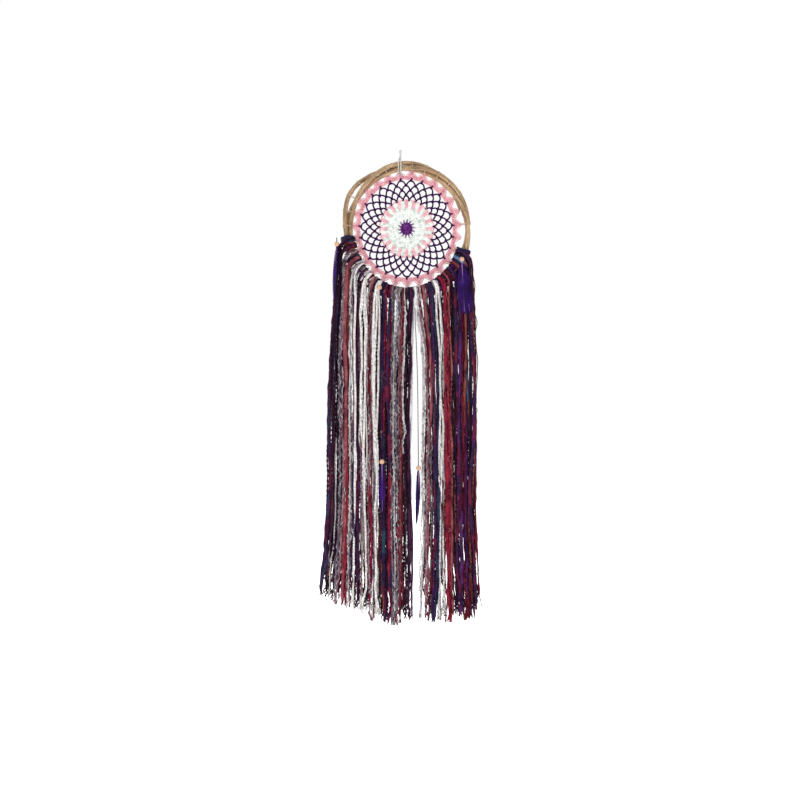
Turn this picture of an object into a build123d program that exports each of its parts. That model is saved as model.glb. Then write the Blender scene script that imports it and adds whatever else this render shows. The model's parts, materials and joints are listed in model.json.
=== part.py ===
"""A crocheted dream catcher with a rattan hoop and a long yarn fringe, one STEP file for each piece.

Millimetres. +X is right, +Y is back, +Z is up. The origin is the inside of the hanging thread's top,
where a nail or hook carries it.
"""

import os
from math import asin, atan2, cos, degrees, exp, pi, radians, sin, tan

from build123d import *

os.makedirs("parts", exist_ok=True)

# Hoop: three canes wound round a common ring
hoop_x = 10.6
hoop_z = -128.2
hoop_half_width = 95.0
hoop_half_height = 101.9
cane_diameter = 7.2
cane_offset = 4.6  # a cane's axis from the ring
cane_slack = 1.9  # how much wider the bundle is at the top
cane_slack_spread = 30.0  # degrees
cane_turns = 2  # turns round the ring in one lap
cane_bulge = 7.5  # where the outer cane stands away, upper left
cane_bulge_at = 303.0
cane_bulge_spread = 20.0
cane_step = 10  # degrees between the path's points
path_cut = 0.35  # how far a filleted path runs inside its points

# Where each cane starts and ends, in degrees clockwise from the top, and its phase round the ring
canes = {
    "cane_outer": (152, 507, 120),
    "cane_inner": (205, 560, 240),
    "cane_short": (141, 430, 0),
}

# Crocheted web
web_x = 9.8
web_z = -125.5
web_stretch = 1.06  # it is a little taller than wide
web_thickness = 2.4
web_radii = {"centre": 14.5, "white": 30.0, "pink": 43.5, "mesh": 76.0}
shell_count = 27
shell_valley = 79.5
shell_shoulder = 82.4
shell_apex = 84.4
cord_shell_apex = 80.2  # the shell under the hanging cord is pulled in
first_shell = -7.6  # degrees clockwise from the top
shell_foot_share = 0.93
shell_shoulder_share = 0.54
cell_rows = (50.4, 58.4, 66.4)
row_height = 8.0
cell_open_share = 0.76
half_cell_share = 0.8  # the half cells next to the pink round are smaller
inner_band = 1.1  # the net's solid edge next to the pink round
outer_band = 0.9  # and next to the edging
lacing_diameter = 0.8
lacing_reach = 92.0  # degrees from the top, as the yarn knots hold the web lower down
lacing_bite = 1.6  # how far inside a shell's tip the thread goes through it

# Hanger
thread_diameter = 0.6
thread_half_gap = 1.2
thread_length = 5.9
knot_radius = 2.3
running_gap = 0.3
cord_diameter = 1.6
cord_turn_x = (-3.1, 0.9)
cord_round_hoop = 11.9
cord_apex = 14.8  # above the ring
cord_apex_radius = 2.0

# Fringe
knot_angles = [82.0 - 6.6 * n for n in range(24)]  # degrees from the bottom, positive to the left
wrap_inner = 8.55
wrap_outer = 10.6
wrap_width = 6.4
yarn_diameters = {1: 7.5, 10: 7.2, 16: 6.9}  # from each number on, fuller at left so that it hangs level
bend_share = 0.45

# Beads and feathers
bead_diameter = 8.0
bead_bore = 2.4
strand_diameter = 1.6
vane_thickness = 1.2
quill_diameter = 1.5
vane_share = 0.9  # of the feather's length
quill_share = 0.8

# The yarn bundles' ways down from their knots, left to right: x, y, z points chosen by hand
yarn_routes = {
    "yarn_01": [(-99, -4.2, -155.9), (-101.2, -4.6, -198), (-104, -4, -242), (-107.5, -4.8, -311),
                (-109.5, -4.2, -384), (-112, -3.6, -464), (-111, -4.4, -560), (-118.5, -3.8, -658),
                (-124, -4.4, -714)],
    "yarn_02": [(-99, 4.2, -167.4), (-100.4, 3.8, -203), (-100.8, 4.4, -244), (-102.4, 3.6, -311),
                (-101.5, 4.6, -384), (-104, 3.8, -464), (-103.4, 4.4, -560), (-109.8, 3.6, -658),
                (-114.6, 4.2, -722)],
    "yarn_03": [(-91.2, -1.6, -178.5), (-92, -2.2, -211), (-93.2, -1.4, -248), (-94.5, -2, -311),
                (-93, -2.4, -384), (-95.6, -1.2, -464), (-95, -2.2, -560), (-100.4, -1.6, -658),
                (-104, -2.4, -728)],
    "yarn_04": [(-83.4, 1.4, -189.2), (-84, 1, -219), (-85.2, 1.8, -256), (-86.5, 0.8, -311),
                (-84.8, 1.6, -384), (-86.8, 0.6, -464), (-86.4, 1.4, -560), (-90.4, 0.8, -658),
                (-93, 1.6, -731)],
    "yarn_05": [(-75.6, -1.2, -199.3), (-76.2, -0.6, -228), (-77.2, -1.4, -262), (-78, -0.8, -311),
                (-76.5, -1.6, -384), (-77.6, -0.4, -464), (-77.4, -1.4, -560), (-80, -0.6, -658),
                (-82, -1.2, -734)],
    "yarn_06": [(-67.4, 1.6, -208.6), (-68, 2, -236), (-69, 1.2, -268), (-69.3, 1.8, -311),
                (-68.2, 1.2, -384), (-68.4, 2, -464), (-67.4, 1.4, -560), (-69, 2.2, -658),
                (-70, 1.6, -738)],
    "yarn_07": [(-58.2, -1.4, -216.9), (-59.2, -2, -256), (-60, -1.2, -311), (-59.5, -1.8, -384),
                (-58.6, -1, -464), (-57.2, -1.8, -560), (-58, -1, -658), (-59, -1.6, -744)],
    "yarn_08": [(-48, 1.2, -224.3), (-49.2, 1.8, -262), (-50, 1, -311), (-50.2, 1.6, -384),
                (-48.6, 0.8, -464), (-47.6, 1.6, -560), (-47.4, 1, -658), (-48.4, 1.8, -755)],
    "yarn_09": [(-37.4, -1.6, -230.7), (-38.4, -1, -264), (-39.6, -1.8, -311), (-40.5, -1.2, -384),
                (-39, -2, -464), (-38.4, -1.2, -560), (-37.4, -1.8, -658), (-37.6, -1, -752)],
    "yarn_10": [(-26, 1.4, -235.8), (-27, 0.8, -268), (-28.6, 1.4, -311), (-30, 0.8, -384),
                (-29.2, 1.6, -464), (-28, 1, -560), (-27, 1.8, -658), (-27, 1.2, -757)],
    "yarn_11": [(-14, -1.2, -239.7), (-15.2, -1.8, -272), (-17, -1.2, -311), (-18.6, -1.8, -384),
                (-18, -0.8, -464), (-17.2, -1.6, -560), (-16.6, -1, -658), (-16.8, -1.8, -761)],
    "yarn_12": [(-2.4, 1.6, -242.2), (-3.4, 1, -274), (-5.5, 1.6, -311), (-7.2, 1, -384),
                (-7.6, 1.8, -464), (-6.4, 1.2, -560), (-6, 1.8, -658), (-6.4, 1, -762)],
    "yarn_13": [(7, -1.4, -243.5), (6.4, -0.8, -276), (5, -1.6, -311), (3.8, -1, -384),
                (3, -1.8, -464), (4.2, -1, -560), (4.4, -1.6, -658), (3.6, -0.8, -759)],
    "yarn_14": [(17, 1.2, -243.4), (15.6, 1.8, -275), (13.6, 1.2, -311), (13.2, 1.8, -384),
                (12, 1, -464), (13.4, 1.6, -560), (14, 1, -658), (12.4, 1.6, -755)],
    "yarn_15": [(28, -1.6, -241.9), (31.6, -1, -272), (39.5, -1.6, -311), (41.3, -1, -384),
                (40.6, -1.8, -464), (39, -1, -560), (37, -1.6, -658), (35.8, -1, -750)],
    "yarn_16": [(39, 1.4, -239.1), (41.6, 1.8, -270), (47.8, 1.2, -311), (49.2, 1.8, -384),
                (48.6, 1.2, -464), (47.4, 1.8, -560), (46, 1.2, -658), (45.4, 1.6, -755)],
    "yarn_17": [(49.4, -1.2, -235.1), (51.4, -1.8, -268), (56, -1, -311), (57.2, -1.6, -384),
                (56.8, -0.8, -464), (56.4, -1.6, -560), (55.6, -1, -658), (55.6, -1.8, -758)],
    "yarn_18": [(60.2, 1.6, -229.8), (61.8, 1, -264), (65, 1.8, -311), (65.4, 1.2, -384),
                (65.6, 1.8, -464), (65.8, 1, -560), (65.4, 1.6, -658), (66, 1, -754)],
    "yarn_19": [(70.8, -1.4, -223.3), (72.2, -2, -260), (74.6, -1.2, -311), (74.2, -1.8, -384),
                (74.8, -1, -464), (75.2, -1.8, -560), (75.6, -1.2, -658), (76.6, -1.8, -757)],
    "yarn_20": [(80.6, 1.2, -215.7), (82.2, 1.8, -256), (84.2, 1, -311), (83.4, 1.6, -384),
                (84, 1, -464), (84, 1.8, -560), (85.2, 1, -658), (86.6, 1.6, -746)],
    "yarn_21": [(89.8, -1.2, -207.2), (90.6, -0.6, -234), (91.8, -1.2, -264), (93.2, -0.8, -311),
                (92.4, -1.6, -384), (93, -0.8, -464), (92.4, -1.4, -560), (94, -0.6, -658),
                (95.8, -1.2, -748)],
    "yarn_22": [(97.8, 0.6, -197.8), (98.8, 1, -228), (100.2, 0.4, -262), (101.4, 1, -311),
                (101.4, 0.4, -384), (101.2, 1.2, -464), (100, 0.6, -560), (102.6, 1.2, -658),
                (105, 0.6, -754)],
    "yarn_23": [(105.6, 4.2, -187.6), (106.6, 4.8, -220), (108, 4.2, -258), (109.4, 4.8, -311),
                (109.6, 4.2, -384), (109, 5, -464), (107.8, 4.4, -560), (110.6, 5, -658),
                (114.4, 4.4, -752)],
    "yarn_24": [(110.8, -4.4, -176.9), (112, -4, -214), (113.6, -4.6, -256), (115.6, -4, -311),
                (116.6, -4.8, -384), (115.6, -4, -464), (113.6, -4.6, -560), (117.6, -4, -658),
                (123, -4.6, -737)],
}

# The thin strands that carry beads and feathers
strand_routes = {
    "tie_left": [(-101.4, -12.6, -144.5), (-101.4, -12.6, -151)],
    "tie_right": [(98.6, -13.8, -167), (97.8, -15, -171.3)],
    "strand_middle": [(-31.6, -6, -236), (-31.4, -9.2, -264), (-31.8, -9.8, -311), (-31, -9.2, -368),
                      (-30.4, -9.8, -428), (-29.4, -9.4, -498)],
    "strand_gap": [(22.8, -1, -241), (23.6, -1.6, -272), (25.6, -1, -311), (27.8, -1.8, -372),
                   (28.2, -1.2, -438), (29, -2, -508.3)],
}

beads = {
    "bead_left": (-101.4, -12.6, -151),
    "bead_right": (97.8, -15, -175.5),
    "bead_top": (-33.3, -15.8, -220.3),
    "bead_middle": (-29.4, -9.4, -498),
    "bead_gap": (29, -2, -508.3),
}

# Each feather: quill's top, length, vane's width, lean to the right and turn about its length, in degrees
feathers = {
    "feather_left": ((-101.4, -12.6, -152.5), 90, 14, -3, -62),
    "feather_right_front": ((97.8, -16.2, -179.5), 82, 14.4, 0.6, 0),
    "feather_right_back": ((97.8, -13.4, -179.5), 82, 14, 9, 0),
    "feather_middle": ((-29.4, -9.4, -499.5), 82, 10.5, 0.6, 0),
    "feather_gap": ((29, -2, -509.8), 90, 11, -2, 66),
}


def save(name, *solids):
    """Write one node from its solids."""
    export_step(Compound(children=list(solids)), f"parts/{name}.step")


def around_hoop(angle):
    """The ring's point, its outward direction and its tangent, angle in degrees clockwise from the top."""
    turn = radians(angle)
    point = Vector(hoop_x + hoop_half_width * sin(turn), 0, hoop_z + hoop_half_height * cos(turn))
    along = Vector(hoop_half_width * cos(turn), 0, -hoop_half_height * sin(turn)).normalized()
    out = Vector(-along.Z, 0, along.X)
    return point, out, along


def nearest_turn(angle, centre):
    """The difference of two directions, in degrees, between -180 and 180."""
    return (angle - centre + 180) % 360 - 180


def cane_place(angle, phase):
    """How far out of the ring a cane's axis is, and how far back, at an angle round the hoop."""
    slack = cane_slack * exp(-((nearest_turn(angle, 0) / cane_slack_spread) ** 2))
    turned = radians(phase + cane_turns * angle)
    out = (cane_offset + slack) * cos(turned)
    if phase == canes["cane_outer"][2]:
        out += cane_bulge * exp(-((nearest_turn(angle, cane_bulge_at) / cane_bulge_spread) ** 2))
    return out, (cane_offset + slack) * sin(turned)


def bend_radii(points):
    """The largest arc that fits each corner of a route."""
    radii = []
    for before, corner, after in zip(points, points[1:], points[2:]):
        run_in = Vector(*corner) - Vector(*before)
        run_out = Vector(*after) - Vector(*corner)
        half_turn = radians(run_in.get_angle(run_out)) / 2
        radii.append(bend_share * min(run_in.length, run_out.length) / tan(half_turn))
    return radii


def tube(name, points, diameter):
    """A round tube along straight runs and tangent arcs."""
    if len(points) > 2:
        radii = bend_radii(points)
        path = FilletPolyline(*points, radius=radii)
    else:
        radii = [0]
        path = Line(*points)
    section = Plane(origin=path @ 0, z_dir=path % 0) * Circle(diameter / 2)
    solid = sweep(section, path=path)
    expected = pi * diameter**2 / 4 * path.length
    print(f"{name}: length {path.length:.1f}, least radius {min(radii):.1f}, "
          f"volume {solid.volume / expected:.4f} of section times length")
    return solid


def make_canes():
    for name, (start, end, phase) in canes.items():
        steps = round((end - start) / cane_step)
        points = []
        for n in range(steps + 1):
            angle = start + (end - start) * n / steps
            point, out, along = around_hoop(angle)
            outward, back = cane_place(angle, phase)
            place = point + out * (outward + path_cut)
            points.append((place.X, place.Y + back, place.Z))
        save(name, tube(name, points, cane_diameter))


def web_point(radius, angle):
    """A point of the web's plane, angle in degrees clockwise from the top."""
    turn = radians(angle)
    return Vector(web_x + radius * sin(turn), 0, web_z + web_stretch * radius * cos(turn))


web_plane = Plane(origin=(web_x, 0, web_z), x_dir=(1, 0, 0), z_dir=(0, -1, 0))


def web_ellipse(radius):
    return (web_plane * Ellipse(radius, radius * web_stretch)).wire()


def thicken(face):
    """A flat piece of the web, half its thickness to each side of its plane."""
    return extrude(face, amount=web_thickness / 2, dir=(0, 1, 0), both=True)


def make_web():
    inner = None
    for part_name, node in (("centre", "web_centre"), ("white", "web_white_rounds"),
                            ("pink", "web_pink_round")):
        outer = web_ellipse(web_radii[part_name])
        save(node, thicken(Face(outer, [inner] if inner else [])))
        inner = outer
    save("web_mesh", thicken(Face(web_ellipse(web_radii["mesh"]), [inner, *mesh_cells()])))
    save("web_edging", thicken(Face(edging_outline(), [web_ellipse(web_radii["mesh"])])))


def mesh_cells():
    """The net's open cells: three rows of diamonds, with half cells inside and outside them."""
    pitch = 360 / shell_count
    half = pitch / 2 * cell_open_share
    reach = row_height * cell_open_share
    inside = web_radii["pink"] + inner_band
    outside = web_radii["mesh"] - outer_band
    cells = []
    for column in range(shell_count):
        for row, radius in enumerate(cell_rows):
            middle = first_shell + pitch * (column + row / 2)
            cells.append([(radius + reach, middle), (radius, middle + half),
                          (radius - reach, middle), (radius, middle - half)])
        low = first_shell + pitch * (column + 0.5)
        cells.append([(inside, low - half * half_cell_share), (inside + reach * half_cell_share, low),
                      (inside, low + half * half_cell_share)])
        high = first_shell + pitch * (column + 1.5)
        cells.append([(outside, high - half), (outside - reach, high), (outside, high + half)])
    return [Polyline(*[web_point(*corner) for corner in cell], close=True).wire() for cell in cells]


def edging_outline():
    """Twenty-seven rounded shells that point out to the canes."""
    pitch = 360 / shell_count
    foot = pitch / 2 * shell_foot_share
    shoulder = pitch / 2 * shell_shoulder_share
    edges = []
    last = web_point(shell_valley, first_shell - foot)
    for n in range(shell_count):
        middle = first_shell + pitch * n
        apex = shell_apex if n else cord_shell_apex
        side = min(shell_shoulder, (apex + shell_valley) / 2)
        left_foot = web_point(shell_valley, middle - foot)
        if n:
            edges.append(Line(last, left_foot))
        left_side = web_point(side, middle - shoulder)
        right_side = web_point(side, middle + shoulder)
        last = web_point(shell_valley, middle + foot)
        edges.append(Line(left_foot, left_side))
        edges.append(ThreePointArc(left_side, web_point(apex, middle), right_side))
        edges.append(Line(right_side, last))
    edges.append(Line(last, web_point(shell_valley, first_shell - foot)))
    return Wire([line.edge() for line in edges])


def make_lacing():
    """A fine thread round the canes at each upper shell."""
    rings = []
    for n in range(1, shell_count):
        angle = first_shell + 360 / shell_count * n
        if abs(nearest_turn(angle, 0)) > lacing_reach:
            continue
        apex = web_point(shell_apex, angle)
        hoop_angle = degrees(atan2((apex.X - hoop_x) / hoop_half_width,
                                   (apex.Z - hoop_z) / hoop_half_height))
        point, out, along = around_hoop(hoop_angle)
        places = [cane_place(hoop_angle, phase) for start, end, phase in canes.values()]
        outer = max(place[0] for place in places) + (cane_diameter + lacing_diameter) / 2 + 2 * running_gap
        inner = (web_point(shell_apex - lacing_bite, angle) - point).length
        rings.append(Plane(origin=point + out * (outer - inner) / 2, z_dir=along)
                     * Torus((outer + inner) / 2, lacing_diameter / 2))
    save("web_lacing", *rings)


def make_hanger():
    # A closed loop of thread, over the nail at the origin
    top = -thread_diameter / 2 - (thread_half_gap - thread_diameter)
    bottom = -thread_length + thread_half_gap
    halves = []
    for side in (-1, 1):
        path = Wire([
            ThreePointArc((0, 0, top + thread_half_gap),
                          (side * thread_half_gap * sin(pi / 4), 0, top + thread_half_gap * cos(pi / 4)),
                          (side * thread_half_gap, 0, top)).edge(),
            Line((side * thread_half_gap, 0, top), (side * thread_half_gap, 0, bottom)).edge(),
            ThreePointArc((side * thread_half_gap, 0, bottom),
                          (side * thread_half_gap * sin(pi / 4), 0, bottom - thread_half_gap * cos(pi / 4)),
                          (0, 0, bottom - thread_half_gap)).edge(),
        ])
        section = Plane(origin=path @ 0, z_dir=path % 0) * Circle(thread_diameter / 2)
        halves.append(sweep(section, path=path))
    save("hang_thread", *halves)

    knot_z = -thread_length - thread_diameter / 2 - running_gap - knot_radius
    save("hang_knot", Pos(0, 0, knot_z) * Sphere(knot_radius))

    # Two turns of cord, each a teardrop round all the canes
    middle_x = sum(cord_turn_x) / len(cord_turn_x)
    ring_z = around_hoop(degrees(asin((middle_x - hoop_x) / hoop_half_width)))[0].Z
    print(f"hoop swings about z {ring_z:.2f}")
    small_centre = cord_apex - cord_apex_radius
    slope = asin((cord_round_hoop - cord_apex_radius) / small_centre)
    turns = []
    for x in cord_turn_x:
        for side in (-1, 1):
            def at(y, z):
                return (x, side * y, ring_z + z)

            high = at(cord_apex_radius * cos(slope), small_centre + cord_apex_radius * sin(slope))
            low = at(cord_round_hoop * cos(slope), cord_round_hoop * sin(slope))
            mid = (slope + pi / 2) / 2
            path = Wire([
                ThreePointArc(at(0, cord_apex),
                              at(cord_apex_radius * cos(mid), small_centre + cord_apex_radius * sin(mid)),
                              high).edge(),
                Line(high, low).edge(),
                ThreePointArc(low, at(cord_round_hoop, 0), at(0, -cord_round_hoop)).edge(),
            ])
            section = Plane(origin=path @ 0, z_dir=path % 0) * Circle(cord_diameter / 2)
            turns.append(sweep(section, path=path))
    save("hang_cord", *turns)


def make_knots():
    """One wrap of yarn round the canes for each bundle."""
    wraps = []
    for angle in knot_angles:
        point, out, along = around_hoop(180 + angle)
        ring = Cylinder(wrap_outer, wrap_width) - Cylinder(wrap_inner, wrap_width)
        wraps.append(Plane(origin=point, z_dir=along) * ring)
    save("fringe_knots", *wraps)


def make_bead(name, place):
    bead = Sphere(bead_diameter / 2) - Cylinder(bead_bore / 2, bead_diameter)
    save(name, Pos(*place) * bead)


def make_feather(name, place, length, width, lean, turn):
    """A flat vane on a straight quill that hangs from its top."""
    vane_length = length * vane_share
    vane = Plane.XZ * Pos(0, -length + vane_length / 2) * Ellipse(width / 2, vane_length / 2)
    vane = extrude(vane, amount=vane_thickness / 2, both=True)
    quill_length = length * quill_share
    quill = Pos(0, 0, -quill_length / 2) * Cylinder(quill_diameter / 2, quill_length)
    save(name, Pos(*place) * Rot(0, -lean, 0) * Rot(0, 0, turn) * (vane + quill))


make_canes()
make_web()
make_lacing()
make_hanger()
make_knots()
for number, (yarn_name, yarn_points) in enumerate(yarn_routes.items(), 1):
    yarn_diameter = yarn_diameters[max(first for first in yarn_diameters if first <= number)]
    save(yarn_name, tube(yarn_name, yarn_points, yarn_diameter))
for strand_name, strand_points in strand_routes.items():
    save(strand_name, tube(strand_name, strand_points, strand_diameter))
for bead_name, bead_place in beads.items():
    make_bead(bead_name, bead_place)
for feather_name, feather_values in feathers.items():
    make_feather(feather_name, *feather_values)
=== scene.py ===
import json
import math
import random
import bpy
import numpy as np
from mathutils import Matrix, Vector


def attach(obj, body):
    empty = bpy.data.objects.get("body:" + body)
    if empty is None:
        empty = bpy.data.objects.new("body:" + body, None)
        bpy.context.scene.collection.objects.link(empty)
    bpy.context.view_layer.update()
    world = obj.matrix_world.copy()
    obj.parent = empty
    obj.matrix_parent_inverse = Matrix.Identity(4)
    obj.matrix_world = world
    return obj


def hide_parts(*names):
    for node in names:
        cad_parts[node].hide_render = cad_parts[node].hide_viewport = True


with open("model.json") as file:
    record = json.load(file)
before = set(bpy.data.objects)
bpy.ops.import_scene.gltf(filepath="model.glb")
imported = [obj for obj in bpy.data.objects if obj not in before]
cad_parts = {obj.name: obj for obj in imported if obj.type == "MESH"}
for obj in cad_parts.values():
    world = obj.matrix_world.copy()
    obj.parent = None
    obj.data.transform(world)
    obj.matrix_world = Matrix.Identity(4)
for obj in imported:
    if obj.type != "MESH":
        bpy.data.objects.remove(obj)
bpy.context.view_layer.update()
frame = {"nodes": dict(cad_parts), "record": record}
bpy.ops.object.select_all(action="DESELECT")
print("packed dream catcher loaded")


# shader helpers

class Wired:
    # a value, colour or vector inside a material, so that shader maths reads as plain sums
    def __init__(self, tree, socket=None):
        self.tree = tree
        self.socket = socket

    def node(self, kind, settings=None, inputs=None, out=0):
        made = self.tree.nodes.new("ShaderNode" + kind)
        for name, value in (settings or {}).items():
            if name == "stops":
                stops = made.color_ramp.elements
                stops[0].position, stops[0].color = value[0]
                stops[1].position, stops[1].color = value[-1]
                for place, colour in value[1:-1]:
                    stops.new(place).color = colour
            else:
                setattr(made, name, value)
        for name, value in (inputs or {}).items():
            if isinstance(value, Wired):
                self.tree.links.new(value.socket, made.inputs[name])
            else:
                made.inputs[name].default_value = value
        return Wired(self.tree, made.outputs[out])

    def maths(self, operation, first, second=0.0):
        return self.node("Math", {"operation": operation}, {0: first, 1: second})

    def __add__(self, other):
        return self.maths("ADD", self, other)

    def __sub__(self, other):
        return self.maths("SUBTRACT", self, other)

    def __rsub__(self, other):
        return self.maths("SUBTRACT", other, self)

    def __mul__(self, other):
        return self.maths("MULTIPLY", self, other)

    __radd__ = __add__
    __rmul__ = __mul__

    def wave(self):
        return self.maths("SINE", self)

    def mixed(self, first, second):
        # first where this is 0, second where it is 1
        return self.node("Mix", {"data_type": "RGBA"}, {0: self, 6: first, 7: second}, out=2)

    def ramp(self, *stops):
        return self.node("ValToRGB", {"stops": stops}, {0: self})

    def grain(self, place, scale, detail=2.0, rough=0.5):
        inputs = {"Vector": place, "Scale": scale, "Detail": detail, "Roughness": rough}
        return self.node("TexNoise", None, inputs)


def newFinish(name, plain):
    finish = bpy.data.materials.new(name)
    finish.use_nodes = True
    shader = finish.node_tree.nodes["Principled BSDF"]
    for socket, value in plain.items():
        shader.inputs[socket].default_value = value
    return finish, Wired(finish.node_tree), shader


def plug(look, shader, links):
    for socket, value in links.items():
        look.tree.links.new(value.socket, shader.inputs[socket])


def tone(red, green, blue):
    # a screen colour of 0 to 255 as the shader's linear colour, and darker, because the studio is bright
    parts = [part / 255 for part in (red, green, blue)]
    share = 0.52 + 0.36 * max(parts)
    linear = [part / 12.92 if part <= 0.04045 else ((part + 0.055) / 1.055) ** 2.4 for part in parts]
    return (*[share * part for part in linear], 1.0)


# finishes

yarnTones = {
    # each yarn's shades, as they follow one another along it, and how far one runs in metres
    "cream": ([(224, 219, 217), (238, 234, 232), (202, 196, 196)], 0.05),
    "salmon": ([(138, 68, 78), (164, 92, 98), (112, 48, 62)], 0.04),
    "crimson": ([(126, 30, 50), (148, 42, 60), (100, 22, 42)], 0.05),
    "burgundy": ([(96, 26, 46), (118, 36, 54), (70, 20, 38)], 0.05),
    "rust": ([(118, 58, 54), (140, 76, 68), (90, 42, 46)], 0.04),
    "greyLight": ([(176, 168, 174), (202, 195, 198), (138, 128, 138)], 0.03),
    "greyDark": ([(104, 94, 106), (134, 124, 134), (72, 62, 74)], 0.03),
    "mauve": ([(134, 96, 108), (158, 120, 128), (104, 66, 82)], 0.04),
    "brownRed": ([(108, 50, 58), (136, 74, 76), (78, 36, 46)], 0.03),
    "black": ([(46, 28, 40), (62, 38, 50), (32, 20, 30)], 0.06),
    "plum": ([(62, 30, 58), (84, 42, 74), (42, 20, 44)], 0.06),
    "purple": ([(70, 32, 84), (90, 48, 106), (50, 24, 64)], 0.07),
    "navy": ([(46, 42, 72), (62, 60, 94), (36, 30, 54)], 0.07),
    "teal": ([(44, 76, 104), (66, 108, 134), (34, 48, 84)], 0.05),
    "magenta": ([(132, 32, 88), (158, 44, 100), (100, 24, 80)], 0.07),
    "lightBlue": ([(72, 92, 130), (92, 120, 156), (62, 58, 104)], 0.05),
    "variegated": ([(48, 42, 76), (76, 50, 90), (44, 60, 84), (56, 28, 62), (98, 34, 66), (40, 32, 56)],
                   0.08),
    "sunset": ([(112, 36, 66), (70, 34, 80), (46, 42, 76), (54, 32, 68), (128, 42, 68), (80, 28, 54)], 0.09),
    "forge": ([(44, 76, 96), (42, 42, 80), (58, 30, 74), (34, 30, 58), (48, 62, 92), (88, 28, 60)], 0.09),
}


def yarnFinish(name, shades, run):
    # fibres twist round the yarn: the UV's first number goes round it, the second along it in metres
    finish, look, shader = newFinish(name, {"Roughness": 0.95, "Specular IOR Level": 0.02})
    way = look.node("TexCoord", out=2)
    place = look.node("TexCoord", out=3)
    around = look.node("SeparateXYZ", None, {0: way})
    along = look.node("SeparateXYZ", None, {0: way}, out=1)
    change = look.node("TexNoise", {"noise_dimensions": "1D"},
                       {"W": along * (1 / run), "Scale": 1.0, "Detail": 1.0})
    step = 0.44 / len(shades)
    stops = [(0.28 + step * (n + 0.5), tone(*shade)) for n, shade in enumerate(shades)]
    colour = change.ramp(*stops)
    fibres = look.grain(place, 1500.0, 3.0, 0.65)
    tufts = look.grain(place, 420.0, 2.0)
    depth = (tufts * 0.6 + fibres * 0.4 - 0.5) * 2.09 + 0.5
    mean = [sum(tone(*shade)[k] for shade in shades) / len(shades) for k in range(3)]
    # a painted shadow tone and a painted highlight tone, both from the yarn's mean colour
    shadow = (*[0.3 * part for part in mean], 1.0)
    high = (*[min(0.98, 1.6 * part + 0.012) for part in mean], 1.0)
    # painted shade where the fibre noise is low, then a painted highlight where it is high
    fibreShade = depth.ramp((0.1, (1, 1, 1, 1)), (0.5, (0, 0, 0, 1))).mixed(colour, shadow)
    fibreShadeAndHighlight = depth.ramp((0.52, (0, 0, 0, 1)), (0.95, (0.8, 0.8, 0.8, 1))).mixed(fibreShade, high)
    twist = (around * (2 * math.pi * 2) + along * 1900.0).wave()
    raised = twist * 0.3 + fibres * 0.9 + tufts * 0.4
    bump = look.node("Bump", None, {"Strength": 0.75, "Distance": 0.0005, "Height": raised})
    plug(look, shader, {"Base Color": fibreShadeAndHighlight, "Normal": bump})
    return finish


def cottonFinish(name, base, shade, light):
    # mercerised crochet cotton: tight twist, a little gloss
    finish, look, shader = newFinish(name, {"Roughness": 0.8, "Specular IOR Level": 0.06})
    place = look.node("TexCoord", out=3)
    soft = look.grain(place, 190.0, 2.0)
    fine = look.grain(place, 1100.0, 2.0, 0.6)
    colour = soft.ramp((0.34, tone(*shade)), (0.5, tone(*base)), (0.68, tone(*light)))
    threads = fine.ramp((0.3, tone(*shade)), (0.62, tone(*light)))
    mixed = look.node("Mix", {"data_type": "RGBA"}, {0: 0.4, 6: colour, 7: threads}, out=2)
    stripes = look.node("TexWave", {"bands_direction": "DIAGONAL"},
                        {"Vector": place, "Scale": 260.0, "Distortion": 3.0, "Detail": 1.0}, out=1)
    raised = stripes * 0.6 + fine * 0.6
    bump = look.node("Bump", None, {"Strength": 0.6, "Distance": 0.0004, "Height": raised})
    plug(look, shader, {"Base Color": mixed, "Normal": bump})
    return finish


def barkFinish():
    # peeled cane: long streaks and grooves along it
    finish, look, shader = newFinish("rattanBark", {"Specular IOR Level": 0.4, "Coat Weight": 0.08,
                                                    "Coat Roughness": 0.4})
    way = look.node("TexCoord", out=2)
    place = look.node("TexCoord", out=3)
    streakWay = look.node("Mapping", None, {"Vector": way, "Scale": (9.0, 38.0, 1.0)})
    streaks = look.grain(streakWay, 1.6, 4.0, 0.62)
    broadWay = look.node("Mapping", None, {"Vector": way, "Scale": (2.0, 11.0, 1.0)})
    broad = look.grain(broadWay, 1.3, 2.0)
    pores = look.grain(place, 900.0, 2.0)
    colour = broad.ramp((0.3, tone(118, 88, 58)), (0.45, tone(168, 134, 96)), (0.58, tone(200, 168, 128)),
                        (0.75, tone(138, 104, 70)))
    grooves = streaks.ramp((0.34, (1, 1, 1, 1)), (0.52, (0, 0, 0, 1)))
    grooved = (grooves * 0.9).mixed(colour, tone(76, 52, 30))
    specks = pores.ramp((0.55, (0, 0, 0, 1)), (0.8, (1, 1, 1, 1))) * 0.35
    speckled = specks.mixed(grooved, tone(238, 208, 164))
    rough = streaks * 0.3 + 0.4
    raised = streaks * 1.2 + pores * 0.2
    bump = look.node("Bump", None, {"Strength": 0.8, "Distance": 0.0008, "Height": raised})
    plug(look, shader, {"Base Color": speckled, "Roughness": rough, "Normal": bump})
    return finish


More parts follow.
